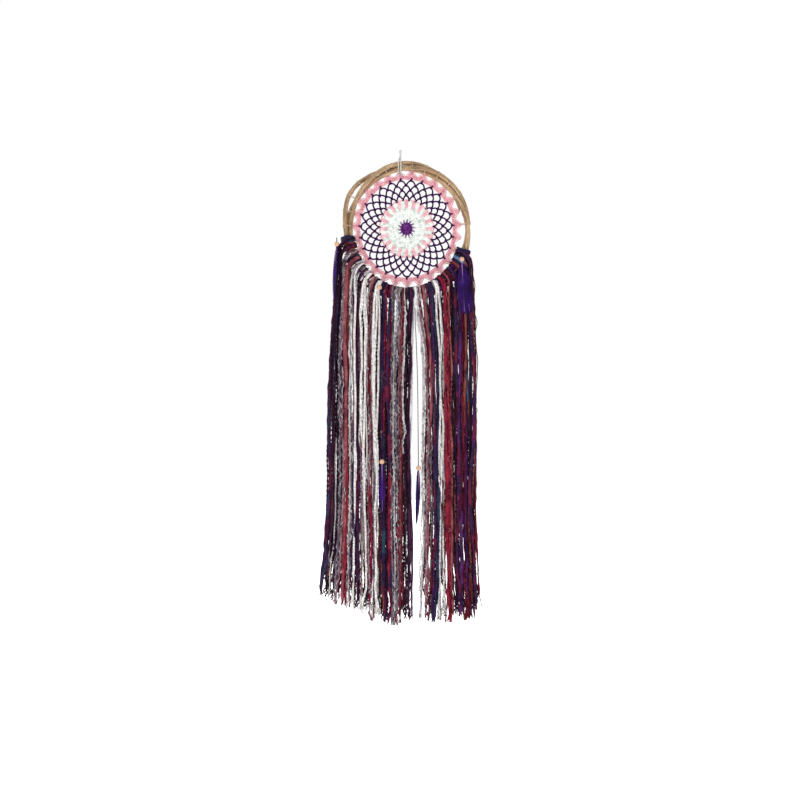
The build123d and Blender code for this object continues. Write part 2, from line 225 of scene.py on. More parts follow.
def beadFinish():
    # turned pale wood, rings across the bore
    finish, look, shader = newFinish("turnedWood", {"Specular IOR Level": 0.45, "Coat Weight": 0.15,
                                                    "Coat Roughness": 0.25})
    place = look.node("TexCoord", out=3)
    rings = look.node("TexWave", {"wave_type": "BANDS", "bands_direction": "X"},
                      {"Vector": place, "Scale": 130.0, "Distortion": 5.0, "Detail": 2.0,
                       "Detail Scale": 1.5}, out=1)
    pores = look.grain(place, 1400.0, 2.0)
    colour = rings.ramp((0.1, tone(186, 136, 100)), (0.55, tone(218, 174, 140)), (0.9, tone(232, 196, 166)))
    speckled = (pores * 0.4).mixed(colour, tone(196, 146, 112))
    raised = rings * 0.6 + pores * 0.5
    bump = look.node("Bump", None, {"Strength": 0.25, "Distance": 0.0003, "Height": raised})
    plug(look, shader, {"Base Color": speckled, "Roughness": pores * 0.25 + 0.3, "Normal": bump})
    return finish


def featherFinish(name, base, dark, light):
    # barbs run across: the UV's first number is out along the barb, the second down the shaft
    finish, look, shader = newFinish(name, {"Specular IOR Level": 0.1, "Roughness": 0.7})
    way = look.node("TexCoord", out=2)
    place = look.node("TexCoord", out=3)
    out = look.node("SeparateXYZ", None, {0: way})
    down = look.node("SeparateXYZ", None, {0: way}, out=1)
    patches = look.grain(place, 60.0, 2.0)
    barbs = (down * 900.0 + patches * 3.0).wave() * 0.5 + 0.5
    colour = patches.ramp((0.32, tone(*dark)), (0.52, tone(*base)), (0.72, tone(*light)))
    lined = (barbs * 0.3).mixed(colour, tone(*dark))
    edged = (out.maths("POWER", out, 2.5) * 0.5).mixed(lined, tone(*dark))
    bump = look.node("Bump", None, {"Strength": 0.5, "Distance": 0.0003, "Height": barbs + patches})
    plug(look, shader, {"Base Color": edged, "Normal": bump})
    return finish


yarns = {name: yarnFinish("yarn." + name, *values) for name, values in yarnTones.items()}
cottons = {
    "purple": cottonFinish("cotton.purple", (92, 34, 112), (60, 16, 80), (124, 62, 142)),
    "darkPurple": cottonFinish("cotton.darkPurple", (54, 10, 70), (38, 4, 52), (76, 26, 94)),
    "white": cottonFinish("cotton.white", (226, 232, 226), (170, 186, 174), (246, 247, 244)),
    "pink": cottonFinish("cotton.pink", (226, 158, 168), (198, 122, 136), (240, 188, 194)),
    "palePink": cottonFinish("cotton.palePink", (228, 172, 180), (204, 138, 150), (242, 206, 210)),
    "cord": cottonFinish("cotton.cord", (208, 203, 196), (158, 152, 146), (232, 229, 224)),
    "thread": cottonFinish("cotton.thread", (112, 108, 106), (84, 80, 78), (140, 136, 132)),
    "lacing": cottonFinish("cotton.lacing", (206, 170, 146), (170, 132, 108), (226, 196, 176)),
}
rattanBark = barkFinish()
turnedWood = beadFinish()
violetFeather = featherFinish("feather.violet", (50, 12, 98), (30, 6, 58), (68, 24, 122))
shaftHorn = cottonFinish("feather.shaft", (150, 104, 156), (110, 70, 120), (186, 150, 190))
print("finishes mixed")


# the shared ways of working

def only(piece):
    bpy.ops.object.select_all(action="DESELECT")
    piece.select_set(True)
    bpy.context.view_layer.objects.active = piece


def smooth(piece, angle):
    only(piece)
    bpy.ops.object.shade_smooth_by_angle(angle=math.radians(angle))


def joined(pieces, name):
    only(pieces[0])
    for piece in pieces:
        piece.select_set(True)
    if len(pieces) > 1:
        bpy.ops.object.join()
    whole = bpy.context.object
    whole.name = name
    whole.data.name = name
    return whole


def runAlong(line):
    # how far down a line each of its points is
    return np.concatenate([[0.0], np.cumsum(np.linalg.norm(np.diff(line, axis=0), axis=1))])


def nurbsLine(points, step=0.0025):
    # the spline through a route's own points, read back at even steps
    curve = bpy.data.curves.new("route", "CURVE")
    curve.dimensions = "3D"
    curve.resolution_u = 16
    spline = curve.splines.new("NURBS")
    spline.points.add(len(points) - 1)
    for point, place in zip(spline.points, points):
        point.co = (*place, 1.0)
    spline.order_u = 3
    spline.use_endpoint_u = True
    holder = bpy.data.objects.new("route", curve)
    mesh = bpy.data.meshes.new_from_object(holder)
    line = np.array([corner.co[:] for corner in mesh.vertices])
    bpy.data.meshes.remove(mesh)
    bpy.data.objects.remove(holder)
    bpy.data.curves.remove(curve)
    run = runAlong(line)
    even = np.linspace(0.0, run[-1], max(3, int(run[-1] / step) + 1))
    return np.stack([np.interp(even, run, line[:, k]) for k in range(3)], axis=1), even


def newSkein():
    # threads gathered for one mesh: corners, faces, the way along each thread, and finishes
    return {"count": 0, "corners": [], "quads": [], "caps": [], "quadWay": [], "capWay": [], "quadFinish": [],
            "capFinish": []}


def addTube(skein, line, radii, sides, finish, wayStart=0.0):
    # one thread: rings of corners along a line, closed at both ends
    line = np.asarray(line, float)
    count = len(line)
    ahead = np.gradient(line, axis=0)
    ahead /= np.linalg.norm(ahead, axis=1, keepdims=True) + 1e-12
    side = np.empty_like(line)
    first = np.cross(np.cross(ahead[0], (0.31, 1.0, 0.17)), ahead[0])
    side[0] = first / np.linalg.norm(first)
    for n in range(1, count):
        flat = side[n - 1] - ahead[n] * side[n - 1].dot(ahead[n])
        side[n] = flat / math.sqrt(flat.dot(flat))
    up = np.cross(ahead, side)
    turns = np.arange(sides) * 2 * math.pi / sides
    tall = np.asarray(radii, float).reshape(-1, 1) if np.ndim(radii) < 2 else radii
    wide = np.broadcast_to(tall, (count, sides))
    rings = line[:, None] + wide[:, :, None] * (np.cos(turns)[None, :, None] * side[:, None]
                                                + np.sin(turns)[None, :, None] * up[:, None])
    base = skein["count"]
    skein["corners"] += [rings.reshape(-1, 3), line[[0, -1]]]
    skein["count"] += count * sides + 2
    here = base + np.arange(count - 1)[:, None] * sides + np.arange(sides)[None, :]
    onward = base + np.arange(count - 1)[:, None] * sides + (np.arange(sides)[None, :] + 1) % sides
    skein["quads"].append(np.stack([here, onward, onward + sides, here + sides], axis=-1).reshape(-1, 4))
    run = wayStart + runAlong(line)
    low = np.broadcast_to(run[:-1, None], (count - 1, sides))
    high = np.broadcast_to(run[1:, None], (count - 1, sides))
    left = np.broadcast_to(np.arange(sides)[None, :] / sides, (count - 1, sides))
    right = left + 1 / sides
    ways = np.stack([left, low, right, low, right, high, left, high], axis=-1)
    skein["quadWay"].append(ways.reshape(-1, 8))
    ring = np.arange(sides)
    after = (ring + 1) % sides
    poles = base + count * sides
    last = base + (count - 1) * sides
    skein["caps"].append(np.concatenate([
        np.stack([np.full(sides, poles), base + after, base + ring], axis=-1),
        np.stack([np.full(sides, poles + 1), last + ring, last + after], axis=-1)]))
    skein["capWay"].append(np.tile([0.5, run[0], 0.5, run[0], 0.5, run[0]], (2 * sides, 1)))
    skein["quadFinish"].append(np.full((count - 1) * sides, finish))
    skein["capFinish"].append(np.full(2 * sides, finish))


def addHairs(skein, line, reach, share, finish, dice, thickness=0.00011):
    # short loose fibres that stand off a thread, so many a metre
    amount = int(share * np.linalg.norm(np.diff(line, axis=0), axis=1).sum()) + 1
    spots = dice.integers(2, len(line) - 2, amount)
    outward = dice.normal(size=(amount, 3)) * (1.0, 1.0, 0.8)
    outward /= np.linalg.norm(outward, axis=1, keepdims=True)
    roots = line[spots] - outward * 0.0002
    tips = line[spots] + outward * reach * dice.uniform(0.5, 1.0, (amount, 1))
    across = np.cross(outward, dice.normal(size=(amount, 3)))
    across /= np.linalg.norm(across, axis=1, keepdims=True) + 1e-12
    other = np.cross(outward, across)
    base = skein["count"]
    ring = [roots + thickness * (math.cos(a) * across + math.sin(a) * other) for a in (0.0, 2.094, 4.189)]
    skein["corners"].append(np.stack([*ring, tips], axis=1).reshape(-1, 3))
    skein["count"] += amount * 4
    n = base + np.arange(amount)[:, None] * 4
    faces = np.concatenate([n + [0, 1, 3], n + [1, 2, 3], n + [2, 0, 3], n + [2, 1, 0]])
    skein["caps"].append(faces)
    skein["capWay"].append(np.tile([0.1, 0.0, 0.4, 0.0, 0.2, 0.002], (len(faces), 1)))
    skein["capFinish"].append(np.full(len(faces), finish))


def woundMesh(name, skein, finishes):
    corners = np.concatenate(skein["corners"])
    quads = np.concatenate(skein["quads"])
    caps = np.concatenate(skein["caps"])
    mesh = bpy.data.meshes.new(name)
    mesh.vertices.add(len(corners))
    mesh.vertices.foreach_set("co", corners.ravel())
    mesh.loops.add(quads.size + caps.size)
    mesh.loops.foreach_set("vertex_index", np.concatenate([quads.ravel(), caps.ravel()]))
    mesh.polygons.add(len(quads) + len(caps))
    mesh.polygons.foreach_set("loop_start", np.concatenate([np.arange(len(quads)) * 4,
                                                            quads.size + np.arange(len(caps)) * 3]))
    mesh.polygons.foreach_set("material_index", np.concatenate(skein["quadFinish"] + skein["capFinish"]))
    mesh.polygons.foreach_set("use_smooth", np.ones(len(quads) + len(caps), bool))
    way = mesh.uv_layers.new(name="alongYarn")
    way.data.foreach_set("uv", np.concatenate([np.concatenate(skein["quadWay"]).ravel(),
                                               np.concatenate(skein["capWay"]).ravel()]))
    mesh.update(calc_edges=True)
    mesh.validate()
    for finish in finishes:
        mesh.materials.append(finish)
    piece = bpy.data.objects.new(name, mesh)
    bpy.context.scene.collection.objects.link(piece)
    return piece


def wander(run, wave, dice):
    # smooth random drift along a line, from -1 to 1
    stops = dice.uniform(-1, 1, int(run[-1] / wave) + 4)
    place = run / wave + dice.uniform(0, 1)
    low = np.floor(place).astype(int)
    part = place - low
    part = part * part * (3 - 2 * part)
    return stops[low] * (1 - part) + stops[low + 1] * part


def eased(value, low, high):
    part = np.clip((value - low) / (high - low), 0, 1)
    return part * part * (3 - 2 * part)


# hoop: three rattan canes wound round each other

hoop = {
    "x": 0.0106, "z": -0.1282, "halfWidth": 0.095, "halfHeight": 0.1019,
    "caneRadius": 0.0039, "offset": 0.0046, "slack": 0.0010, "slackSpread": 30, "turns": 2,
    "bulge": 0.0075, "bulgeAt": 303, "bulgeSpread": 20,
    # angles clockwise from the top where each cane starts and ends, and its place in the winding
    "canes": {"cane_outer": (152, 507, 120), "cane_inner": (205, 560, 240), "cane_short": (141, 430, 0)},
    "sides": 18, "knuckleGap": 0.062, "knuckleWidth": 0.0022,
    "firstKnot": 262, "knotPitch": 6.6,
}


def aroundHoop(angle):
    turn = math.radians(angle)
    wide, high = hoop["halfWidth"], hoop["halfHeight"]
    point = Vector((hoop["x"] + wide * math.sin(turn), 0, hoop["z"] + high * math.cos(turn)))
    along = Vector((wide * math.cos(turn), 0, -high * math.sin(turn))).normalized()
    return point, Vector((-along.z, 0, along.x)), along


def fromTurn(angle, centre):
    return (angle - centre + 180) % 360 - 180


def canePlace(angle, phase):
    # how far out and back of the hoop's middle line a cane runs
    slack = hoop["slack"] * math.exp(-(fromTurn(angle, 0) / hoop["slackSpread"]) ** 2)
    turned = math.radians(phase + hoop["turns"] * angle)
    out = (hoop["offset"] + slack) * math.cos(turned)
    if phase == hoop["canes"]["cane_outer"][2]:
        out += hoop["bulge"] * math.exp(-(fromTurn(angle, hoop["bulgeAt"]) / hoop["bulgeSpread"]) ** 2)
    return out, (hoop["offset"] + slack) * math.sin(turned)


def makeCane(name, start, end, phase, seed):
    dice = random.Random(seed)
    route = bpy.data.curves.new(name + ".route", "CURVE")
    route.dimensions = "3D"
    route.resolution_u = 12
    spline = route.splines.new("NURBS")
    steps = round((end - start) / 8)
    spline.points.add(steps)
    for n, point in enumerate(spline.points):
        angle = start + (end - start) * n / steps
        middle, out = aroundHoop(angle)[:2]
        outward, back = canePlace(angle, phase)
        place = middle + out * (outward + 0.00025 + dice.uniform(-0.00025, 0.00025))
        point.co = (place.x, place.y + back + dice.uniform(-0.0003, 0.0003), place.z, 1)
    spline.order_u = 4
    spline.use_endpoint_u = True
    guide = bpy.data.objects.new(name + ".route", route)
    bpy.context.scene.collection.objects.link(guide)
    length = spline.calc_length()

    bpy.ops.mesh.primitive_cylinder_add(vertices=hoop["sides"], radius=hoop["caneRadius"], depth=length,
                                        end_fill_type="NGON", location=(0, 0, length / 2))
    cane = bpy.context.object
    bpy.ops.object.transform_apply(location=True, rotation=False, scale=False)
    bpy.ops.object.mode_set(mode="EDIT")
    bpy.ops.mesh.select_mode(type="EDGE")
    bpy.ops.mesh.select_all(action="DESELECT")
    bpy.ops.object.mode_set(mode="OBJECT")
    for edge in cane.data.edges:
        low, high = (cane.data.vertices[v].co.z for v in edge.vertices)
        edge.select = abs(low - high) > length / 2
    bpy.ops.object.mode_set(mode="EDIT")
    bpy.ops.mesh.subdivide(number_cuts=100)
    bpy.ops.mesh.subdivide(number_cuts=2)
    bpy.ops.mesh.select_all(action="DESELECT")
    bpy.ops.object.mode_set(mode="OBJECT")
    for face in cane.data.polygons:
        face.select = abs(face.normal.z) > 0.9
    bpy.ops.object.mode_set(mode="EDIT")
    bpy.ops.mesh.select_mode(type="FACE")
    bpy.ops.mesh.inset(thickness=0.0009, depth=0.0005)
    bpy.ops.mesh.inset(thickness=0.0012, depth=-0.0002)
    bpy.ops.object.mode_set(mode="OBJECT")

    # knuckles where leaves grew, and a body that is never quite round
    knuckles = []
    place = dice.uniform(0.01, 0.04)
    while place < length:
        knuckles.append(place)
        place += hoop["knuckleGap"] * dice.uniform(0.7, 1.4)
    for corner in cane.data.vertices:
        turn = math.atan2(corner.co.y, corner.co.x)
        swell = 0.97 + 0.035 * math.sin(2 * turn + corner.co.z * 31)
        swell += 0.025 * math.sin(3 * turn - corner.co.z * 17)
        for knuckle in knuckles:
            away = (corner.co.z - knuckle) / hoop["knuckleWidth"]
            swell += 0.13 * math.exp(-away * away) - 0.07 * math.exp(-((away - 1.9) ** 2))
        corner.co.x *= swell
        corner.co.y *= swell
    grain = bpy.data.textures.new(name + ".grain", "CLOUDS")
    grain.noise_scale = 0.006
    rough = cane.modifiers.new("rough", "DISPLACE")
    rough.texture = grain
    rough.texture_coords = "LOCAL"
    rough.strength = 0.0005
    bend = cane.modifiers.new("bend", "CURVE")
    bend.object = guide
    bend.deform_axis = "POS_Z"
    only(cane)
    bpy.ops.object.modifier_apply(modifier="rough")
    bpy.ops.object.modifier_apply(modifier="bend")
    cane.name = cane.data.name = name + ".bark"
    cane.data.materials.append(rattanBark)
    smooth(cane, 55)
    bpy.data.objects.remove(guide)
    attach(cane, "hoop")
    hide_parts(name)


for seed, (caneName, caneValues) in enumerate(hoop["canes"].items()):
    makeCane(caneName, *caneValues, seed + 3)
print("canes bent")


# web: rounds of crochet about one middle, modelled one repeat at a time

web = {
    "x": 0.0098, "z": -0.1255, "stretch": 1.06,
    "spikePairs": 14, "puffs": 20, "shells": 27, "firstShell": -7.6,
    "netRows": [43.0, 50.0, 57.4, 65.0, 72.6], "netThread": 0.00142, "netKnot": 0.0019,
    "lowShellFrom": 77.5, "lowShellHeight": 0.8, "lacedAt": 0.0844, "lastLaced": 92, "lacingThread": 0.00027,
}
webMiddle = Vector((web["x"], 0, web["z"]))


def crochetThreads(name, threads, radius, finish):
    # threads lie in a wedge that points up from the web's middle: across, back and out in millimetres,
    # then a share of the thread's width
    curve = bpy.data.curves.new(name, "CURVE")
    curve.dimensions = "3D"
    curve.resolution_u = 3
    curve.bevel_depth = radius
    curve.bevel_resolution = 1
    curve.use_fill_caps = True
    for thread in threads:
        spline = curve.splines.new("NURBS")
        spline.points.add(len(thread) - 1)
        for point, (across, back, out, width) in zip(spline.points, thread):
            point.co = (web["x"] + across / 1000, back / 1000, web["z"] + out / 1000, 1)
            point.radius = width
        spline.order_u = 3
        spline.use_endpoint_u = True
    piece = bpy.data.objects.new(name, curve)
    bpy.context.scene.collection.objects.link(piece)
    only(piece)
    bpy.ops.object.convert(target="MESH")
    piece = bpy.context.object
    piece.data.materials.append(finish)
    bpy.ops.object.shade_smooth()
    return piece


def roundOf(piece, count, first, name, skip=()):
    # copies of one repeat turned about the web's middle, and joined
    copies = []
    for n in range(count):
        if n in skip:
            continue
        copy = piece.copy()
        copy.data = piece.data.copy()
        bpy.context.scene.collection.objects.link(copy)
        turn = Matrix.Rotation(math.radians(first + 360 / count * n), 4, "Y")
        copy.data.transform(Matrix.Translation(webMiddle) @ turn @ Matrix.Translation(-webMiddle))
        copies.append(copy)
    bpy.data.objects.remove(piece)
    return joined(copies, name)


def stretched(piece, node):
    # a finished round, made as much taller than wide as the hoop holds it
    only(piece)
    stretch = Matrix.Scale(web["stretch"], 4, (0, 0, 1))
    piece.data.transform(Matrix.Translation(webMiddle) @ stretch @ Matrix.Translation(-webMiddle))
    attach(piece, "hoop")
    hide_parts(node)


def ringThread(radius, thickness, back, finish, name):
    bpy.ops.mesh.primitive_torus_add(location=(web["x"], back / 1000, web["z"]), rotation=(math.pi / 2, 0, 0),
                                     major_segments=96, minor_segments=6, major_radius=radius / 1000,
                                     minor_radius=thickness / 1000)
    ring = bpy.context.object
    bpy.ops.object.transform_apply(location=True, rotation=True, scale=True)
    ring.data.materials.append(finish)
    ring.name = name
    bpy.ops.object.shade_smooth()
    return ring


# starburst middle: long and short spikes over coiled rounds
spikes = []
for n, reach in ((-1, 12.4), (1, 14.4)):
    spikes.append([(n * 0.5, -0.9, 2.2, 0.7), (n * 0.75, -1.5, 6, 1), (n * 0.8, -1.6, 10, 1),
                   (n * 0.85, -1.7, reach, 0.6)])
spikeRepeat = crochetThreads("spike", spikes, 0.00085, cottons["purple"])
starburst = roundOf(spikeRepeat, web["spikePairs"], 4, "starburst")
coils = [ringThread(r, 1.05, -0.1, cottons["purple"], "coil") for r in (1.3, 3.1, 4.9, 6.7, 8.5)]
stretched(joined([starburst, *coils], "web.starburst"), "web_centre")

# two white rounds: short stitches, then taller ones, with a chain between
white = cottons["white"]
puffs = web["puffs"]
halfPuff = 180 / puffs
lowStitch = [[(side * 0.5, -0.5, 12.4, 0.9), (side * 1.2, -1.1, 16, 1.15), (side * 1.0, -0.9, 20, 1.1),
              (side * 0.3, -0.6, 22.4, 0.9)] for side in (-1, 0, 1)]
tallStitch = [[(side * 0.8, -0.3, 21.6, 0.9), (side * 1.7, -1.2, 25.5, 1.25), (side * 1.5, -1.0, 28.6, 1.15),
               (side * 0.6, -0.3, 31, 0.8)] for side in (-1, 0, 1)]
chainLoop = [[(-1.9, -1.4, 22, 0.9), (-0.2, -1.9, 22.9, 1.0), (1.9, -1.3, 22.3, 0.9)],
             [(-2.5, -1.0, 30.2, 0.9), (-0.3, -1.7, 31.2, 1.0), (2.5, -1.0, 30.4, 0.9)]]
tallRepeat = crochetThreads("tallStitch", tallStitch, 0.00115, white)
whiteRounds = [roundOf(crochetThreads("lowStitch", lowStitch, 0.00095, white), puffs, 0, "lowStitches"),
               roundOf(tallRepeat, puffs, halfPuff, "tallStitches"),
               roundOf(crochetThreads("chainLoop", chainLoop, 0.0007, white), puffs, 0, "chains"),
               ringThread(21.8, 0.8, 0.2, white, "backRing"), ringThread(29.6, 0.8, 0.3, white, "backRing")]
stretched(joined(whiteRounds, "web.whiteRounds"), "web_white_rounds")

# puffs of five loops, pink and white by turns
palePink = cottons["palePink"]
puff = [[(bend * 0.35, 0, 29.6, 0.8), (bend * 0.95, -0.9 + abs(bend) * 0.3, 33.6, 1.1),
         (bend * 1.2, -1.0 + abs(bend) * 0.3, 39.4, 1.2), (bend * 0.75, -0.3, 42.8, 0.85)]
        for bend in (-2.2, -1.1, 0, 1.1, 2.2)]
topLoop = [[(-2.4, -0.6, 41.4, 0.9), (-1.2, -1.2, 44.0, 1.1), (1.2, -1.2, 44.0, 1.1), (2.4, -0.6, 41.4, 0.9)]]
puffRounds = [roundOf(crochetThreads("puff", puff + topLoop, 0.00088, palePink), puffs, 0, "pinkPuffs"),
              roundOf(crochetThreads("puff", puff, 0.00088, white), puffs, halfPuff, "whitePuffs"),
              roundOf(crochetThreads("loop", topLoop, 0.0009, palePink), puffs, halfPuff, "paleLoops"),
              ringThread(43.2, 0.6, 0.4, palePink, "topRing")]
stretched(joined(puffRounds, "web.puffs"), "web_pink_round")

# net: each arch springs from the tops of the two below it
pitch = 360 / web["shells"]
netRows = web["netRows"]


def spot(out, turn, back, width):
    # a place in a repeat, from how far out it is and its turn in degrees
    return (out * math.sin(math.radians(turn)), back, out * math.cos(math.radians(turn)), width)


arches = []
for row, (low, high) in enumerate(zip(netRows, netRows[1:])):
    shift = pitch / 2 * (row % 2)
    rise = high - low
    lean = 0.03 * pitch
    foot, flank, brow, crown = low - 0.3, low + 0.34 * rise, low + 0.8 * rise, high - 0.02 * rise
    stations = [(foot, 0.02, 0, -0.6, 1.2), (flank, 0.08, lean, -0.1, 0.95), (brow, 0.25, lean, 0.1, 0.9),
                (crown, 0.41, 0, -0.3, 1.0), (high + 0.2, 0.5, 0, -0.5, 1.15), (crown, 0.59, 0, -0.3, 1.0),
                (brow, 0.75, lean, 0.1, 0.9), (flank, 0.92, lean, -0.1, 0.95), (foot, 0.98, 0, -0.6, 1.2)]
    arches.append([spot(out, shift + share * pitch + more, back, width)
                   for out, share, more, back, width in stations])
# a short chain ties each top arch to the edging
arches.append([spot(72.4, 0, -0.6, 1.0), spot(74.4, 0.03 * pitch, -1.4, 1.1),
               spot(77.0, 0.06 * pitch, -2.3, 0.95)])
column = [crochetThreads("netColumn", arches, web["netThread"], cottons["darkPurple"])]
for row, out in enumerate(netRows):
    turn = math.radians(pitch / 2 * (row % 2))
    place = (web["x"] + out * math.sin(turn) / 1000, -0.0004, web["z"] + out * math.cos(turn) / 1000)
    bpy.ops.mesh.primitive_ico_sphere_add(subdivisions=2, radius=web["netKnot"], location=place)
    netKnot = bpy.context.object
    bpy.ops.object.transform_apply(location=True, rotation=True, scale=True)
    netKnot.data.materials.append(cottons["darkPurple"])
    bpy.ops.object.shade_smooth()
    column.append(netKnot)
net = roundOf(joined(column, "netColumn"), web["shells"], web["firstShell"], "web.net")
stretched(net, "web_mesh")

# edging: a solid pink round, then pointed shells that reach out to the canes
pink = cottons["pink"]
shell = []
for n in range(-4, 5):
    tip = (88.0, 86.6, 84.0, 81.4, 79.4)[abs(n)]
    shell.append([(n * 1.7, -0.2, 74.4, 1), (n * 1.95, -0.8 - 0.3 * (n % 2), 76.4, 1.15),
                  (n * 1.9, -0.9, (tip + 77) / 2, 1.15), (n * 1.55, -0.2, tip - 0.8, 0.95)])
for n in range(-5, 5):
    shell.append([(n * 1.8 + 0.9, 0.4, 74.2, 1), (n * 1.86 + 0.93, 0.1, 76.0, 1.3),
                  (n * 1.75 + 0.88, 0.4, 78.8, 1.2)])
rim = [(9.6, -0.4, 77.4, 0.9), (8.2, -0.8, 79.6, 0.8), (4.6, -1.0, 83.8, 0.8), (1.7, -1.0, 87.6, 0.8)]
outline = [(-across, *rest) for across, *rest in rim] + [(0, -0.8, 88.8, 0.8)] + rim[::-1]
shellRepeat = crochetThreads("shell", shell + [outline], 0.00092, pink)
# the one under the hanging cord is lower
lowShell = shellRepeat.copy()
lowShell.data = shellRepeat.data.copy()
bpy.context.scene.collection.objects.link(lowShell)
lowest = web["lowShellFrom"]
for corner in lowShell.data.vertices:
    out = (corner.co.z - web["z"]) * 1000
    if out > lowest:
        corner.co.z = web["z"] + (lowest + (out - lowest) * web["lowShellHeight"]) / 1000
shells = roundOf(shellRepeat, web["shells"], web["firstShell"], "shells", skip=(0,))
lowShell = roundOf(lowShell, 1, web["firstShell"], "lowShell")
footRing = ringThread(74.7, 0.9, -0.1, pink, "footRing")
stretched(joined([shells, lowShell, footRing], "web.edging"), "web_edging")

# lacing: fine thread, twice round the canes at each upper shell
lacing = newSkein()
for n in range(1, web["shells"]):
    angle = web["firstShell"] + pitch * n
    if abs(fromTurn(angle, 0)) > web["lastLaced"]:
        continue
    turn = math.radians(angle)
    apex = Vector((web["x"] + web["lacedAt"] * math.sin(turn), 0,
                   web["z"] + web["lacedAt"] * web["stretch"] * math.cos(turn)))
    hoopAngle = math.degrees(math.atan2((apex.x - hoop["x"]) / hoop["halfWidth"],
                                        (apex.z - hoop["z"]) / hoop["halfHeight"]))
    middle, out, along = aroundHoop(hoopAngle)
    furthest = max(canePlace(hoopAngle, cane[2])[0] for cane in hoop["canes"].values())
    far = furthest + hoop["caneRadius"] + 0.0007
    near = -((apex - middle).length - 0.0022)
    for side in (-0.5, 0.5):
        loop = [middle + out * ((far + near) / 2 + (far - near) / 2 * math.cos(t))
                + along * (side * 0.0011 * (1 + math.cos(t))) + Vector((0, 0.0093, 0)) * math.sin(t)
                for t in np.linspace(0, 2 * math.pi, 33)]
        addTube(lacing, np.array(loop), web["lacingThread"], 5, 0)
lacingPiece = woundMesh("web.lacing", lacing, [cottons["lacing"]])
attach(lacingPiece, "hoop")
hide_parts("web_lacing")
print("web crocheted")


# hanger: a fine thread, its knot, and a white cord doubled round the canes

hanger = {"threadHalfGap": 0.0012, "threadLength": 0.0059, "threadRadius": 0.00042, "knotZ": -0.0085,
          "cordTurns": (-0.0031, 0.0009), "cordCentreZ": -0.02708, "cordApex": 0.0148, "cordRadius": 0.00105}


def twistedCord(skein, line, radius, plies, pitchLength, finish, sides=6):
    # plies laid round each other, one turn in each pitch
    run = runAlong(line)
    ahead = np.gradient(line, axis=0)
    ahead /= np.linalg.norm(ahead, axis=1, keepdims=True)
    side = np.cross(ahead, (0.13, 0.21, 0.97) if abs(ahead[0][2]) < 0.9 else (0.1, 1.0, 0.1))
    side /= np.linalg.norm(side, axis=1, keepdims=True)
    up = np.cross(ahead, side)
    for ply in range(plies):
        turn = (2 * math.pi * (run / pitchLength + ply / plies))[:, None]
        away = radius * 0.5 * (np.cos(turn) * side + np.sin(turn) * up)
        addTube(skein, line + away, radius * 0.56, sides, finish)


threadLoop = newSkein()
gap = hanger["threadHalfGap"]
halfRun = hanger["threadLength"] / 2
turns = np.linspace(0, 2 * math.pi, 61)
loop = np.stack([gap * np.sin(turns), 0.00006 * np.sin(3 * turns),
                 -0.0009 - halfRun + gap + halfRun * np.cos(turns)], axis=1)
loop[:, 2] = np.clip(loop[:, 2], -hanger["threadLength"], -0.0003)
addTube(threadLoop, loop, hanger["threadRadius"], 8, 0)
threadPiece = woundMesh("hanger.thread", threadLoop, [cottons["thread"]])
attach(threadPiece, "thread")
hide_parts("hang_thread")

# an overhand knot: four wraps over each other
wraps = newSkein()
for tilt, size, lift in ((0.3, 0.0019, 0.0007), (-0.5, 0.0017, -0.0006), (1.2, 0.0016, 0.0),
                         (2.0, 0.0014, 0.0002)):
    turn = np.linspace(0, 2 * math.pi, 25)
    ring = np.stack([size * 0.72 * np.cos(turn), size * 0.72 * np.sin(turn),
                     0.0004 * np.sin(2 * turn) + lift + size * 0.4 * math.sin(tilt) * np.cos(turn)], axis=1)
    addTube(wraps, ring + (0, 0, hanger["knotZ"]), 0.00062, 8, 0)
knotPiece = woundMesh("hanger.knot", wraps, [cottons["cord"]])
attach(knotPiece, "knot")
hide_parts("hang_knot")

cordSkein = newSkein()
for x in hanger["cordTurns"]:
    centre = hanger["cordCentreZ"]
    apex = centre + hanger["cordApex"]
    front = [(x * 0.25, 0, apex + 0.0006), (x * 0.5, -0.0028, apex - 0.0012), (x, -0.0093, centre + 0.0082),
             (x, -0.0127, centre), (x, -0.0107, centre - 0.0095)]
    rear = [(right, -back, high) for right, back, high in front[::-1]]
    line = nurbsLine(front + [(x, 0, centre - 0.0142)] + rear, 0.0006)[0]
    twistedCord(cordSkein, line, hanger["cordRadius"], 3, 0.0042, 0)
cordPiece = woundMesh("hanger.cord", cordSkein, [cottons["cord"]])
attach(cordPiece, "cord")
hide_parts("hang_cord")
print("hanger tied")


# fringe: loose yarns in bundles, each bundle a free cord

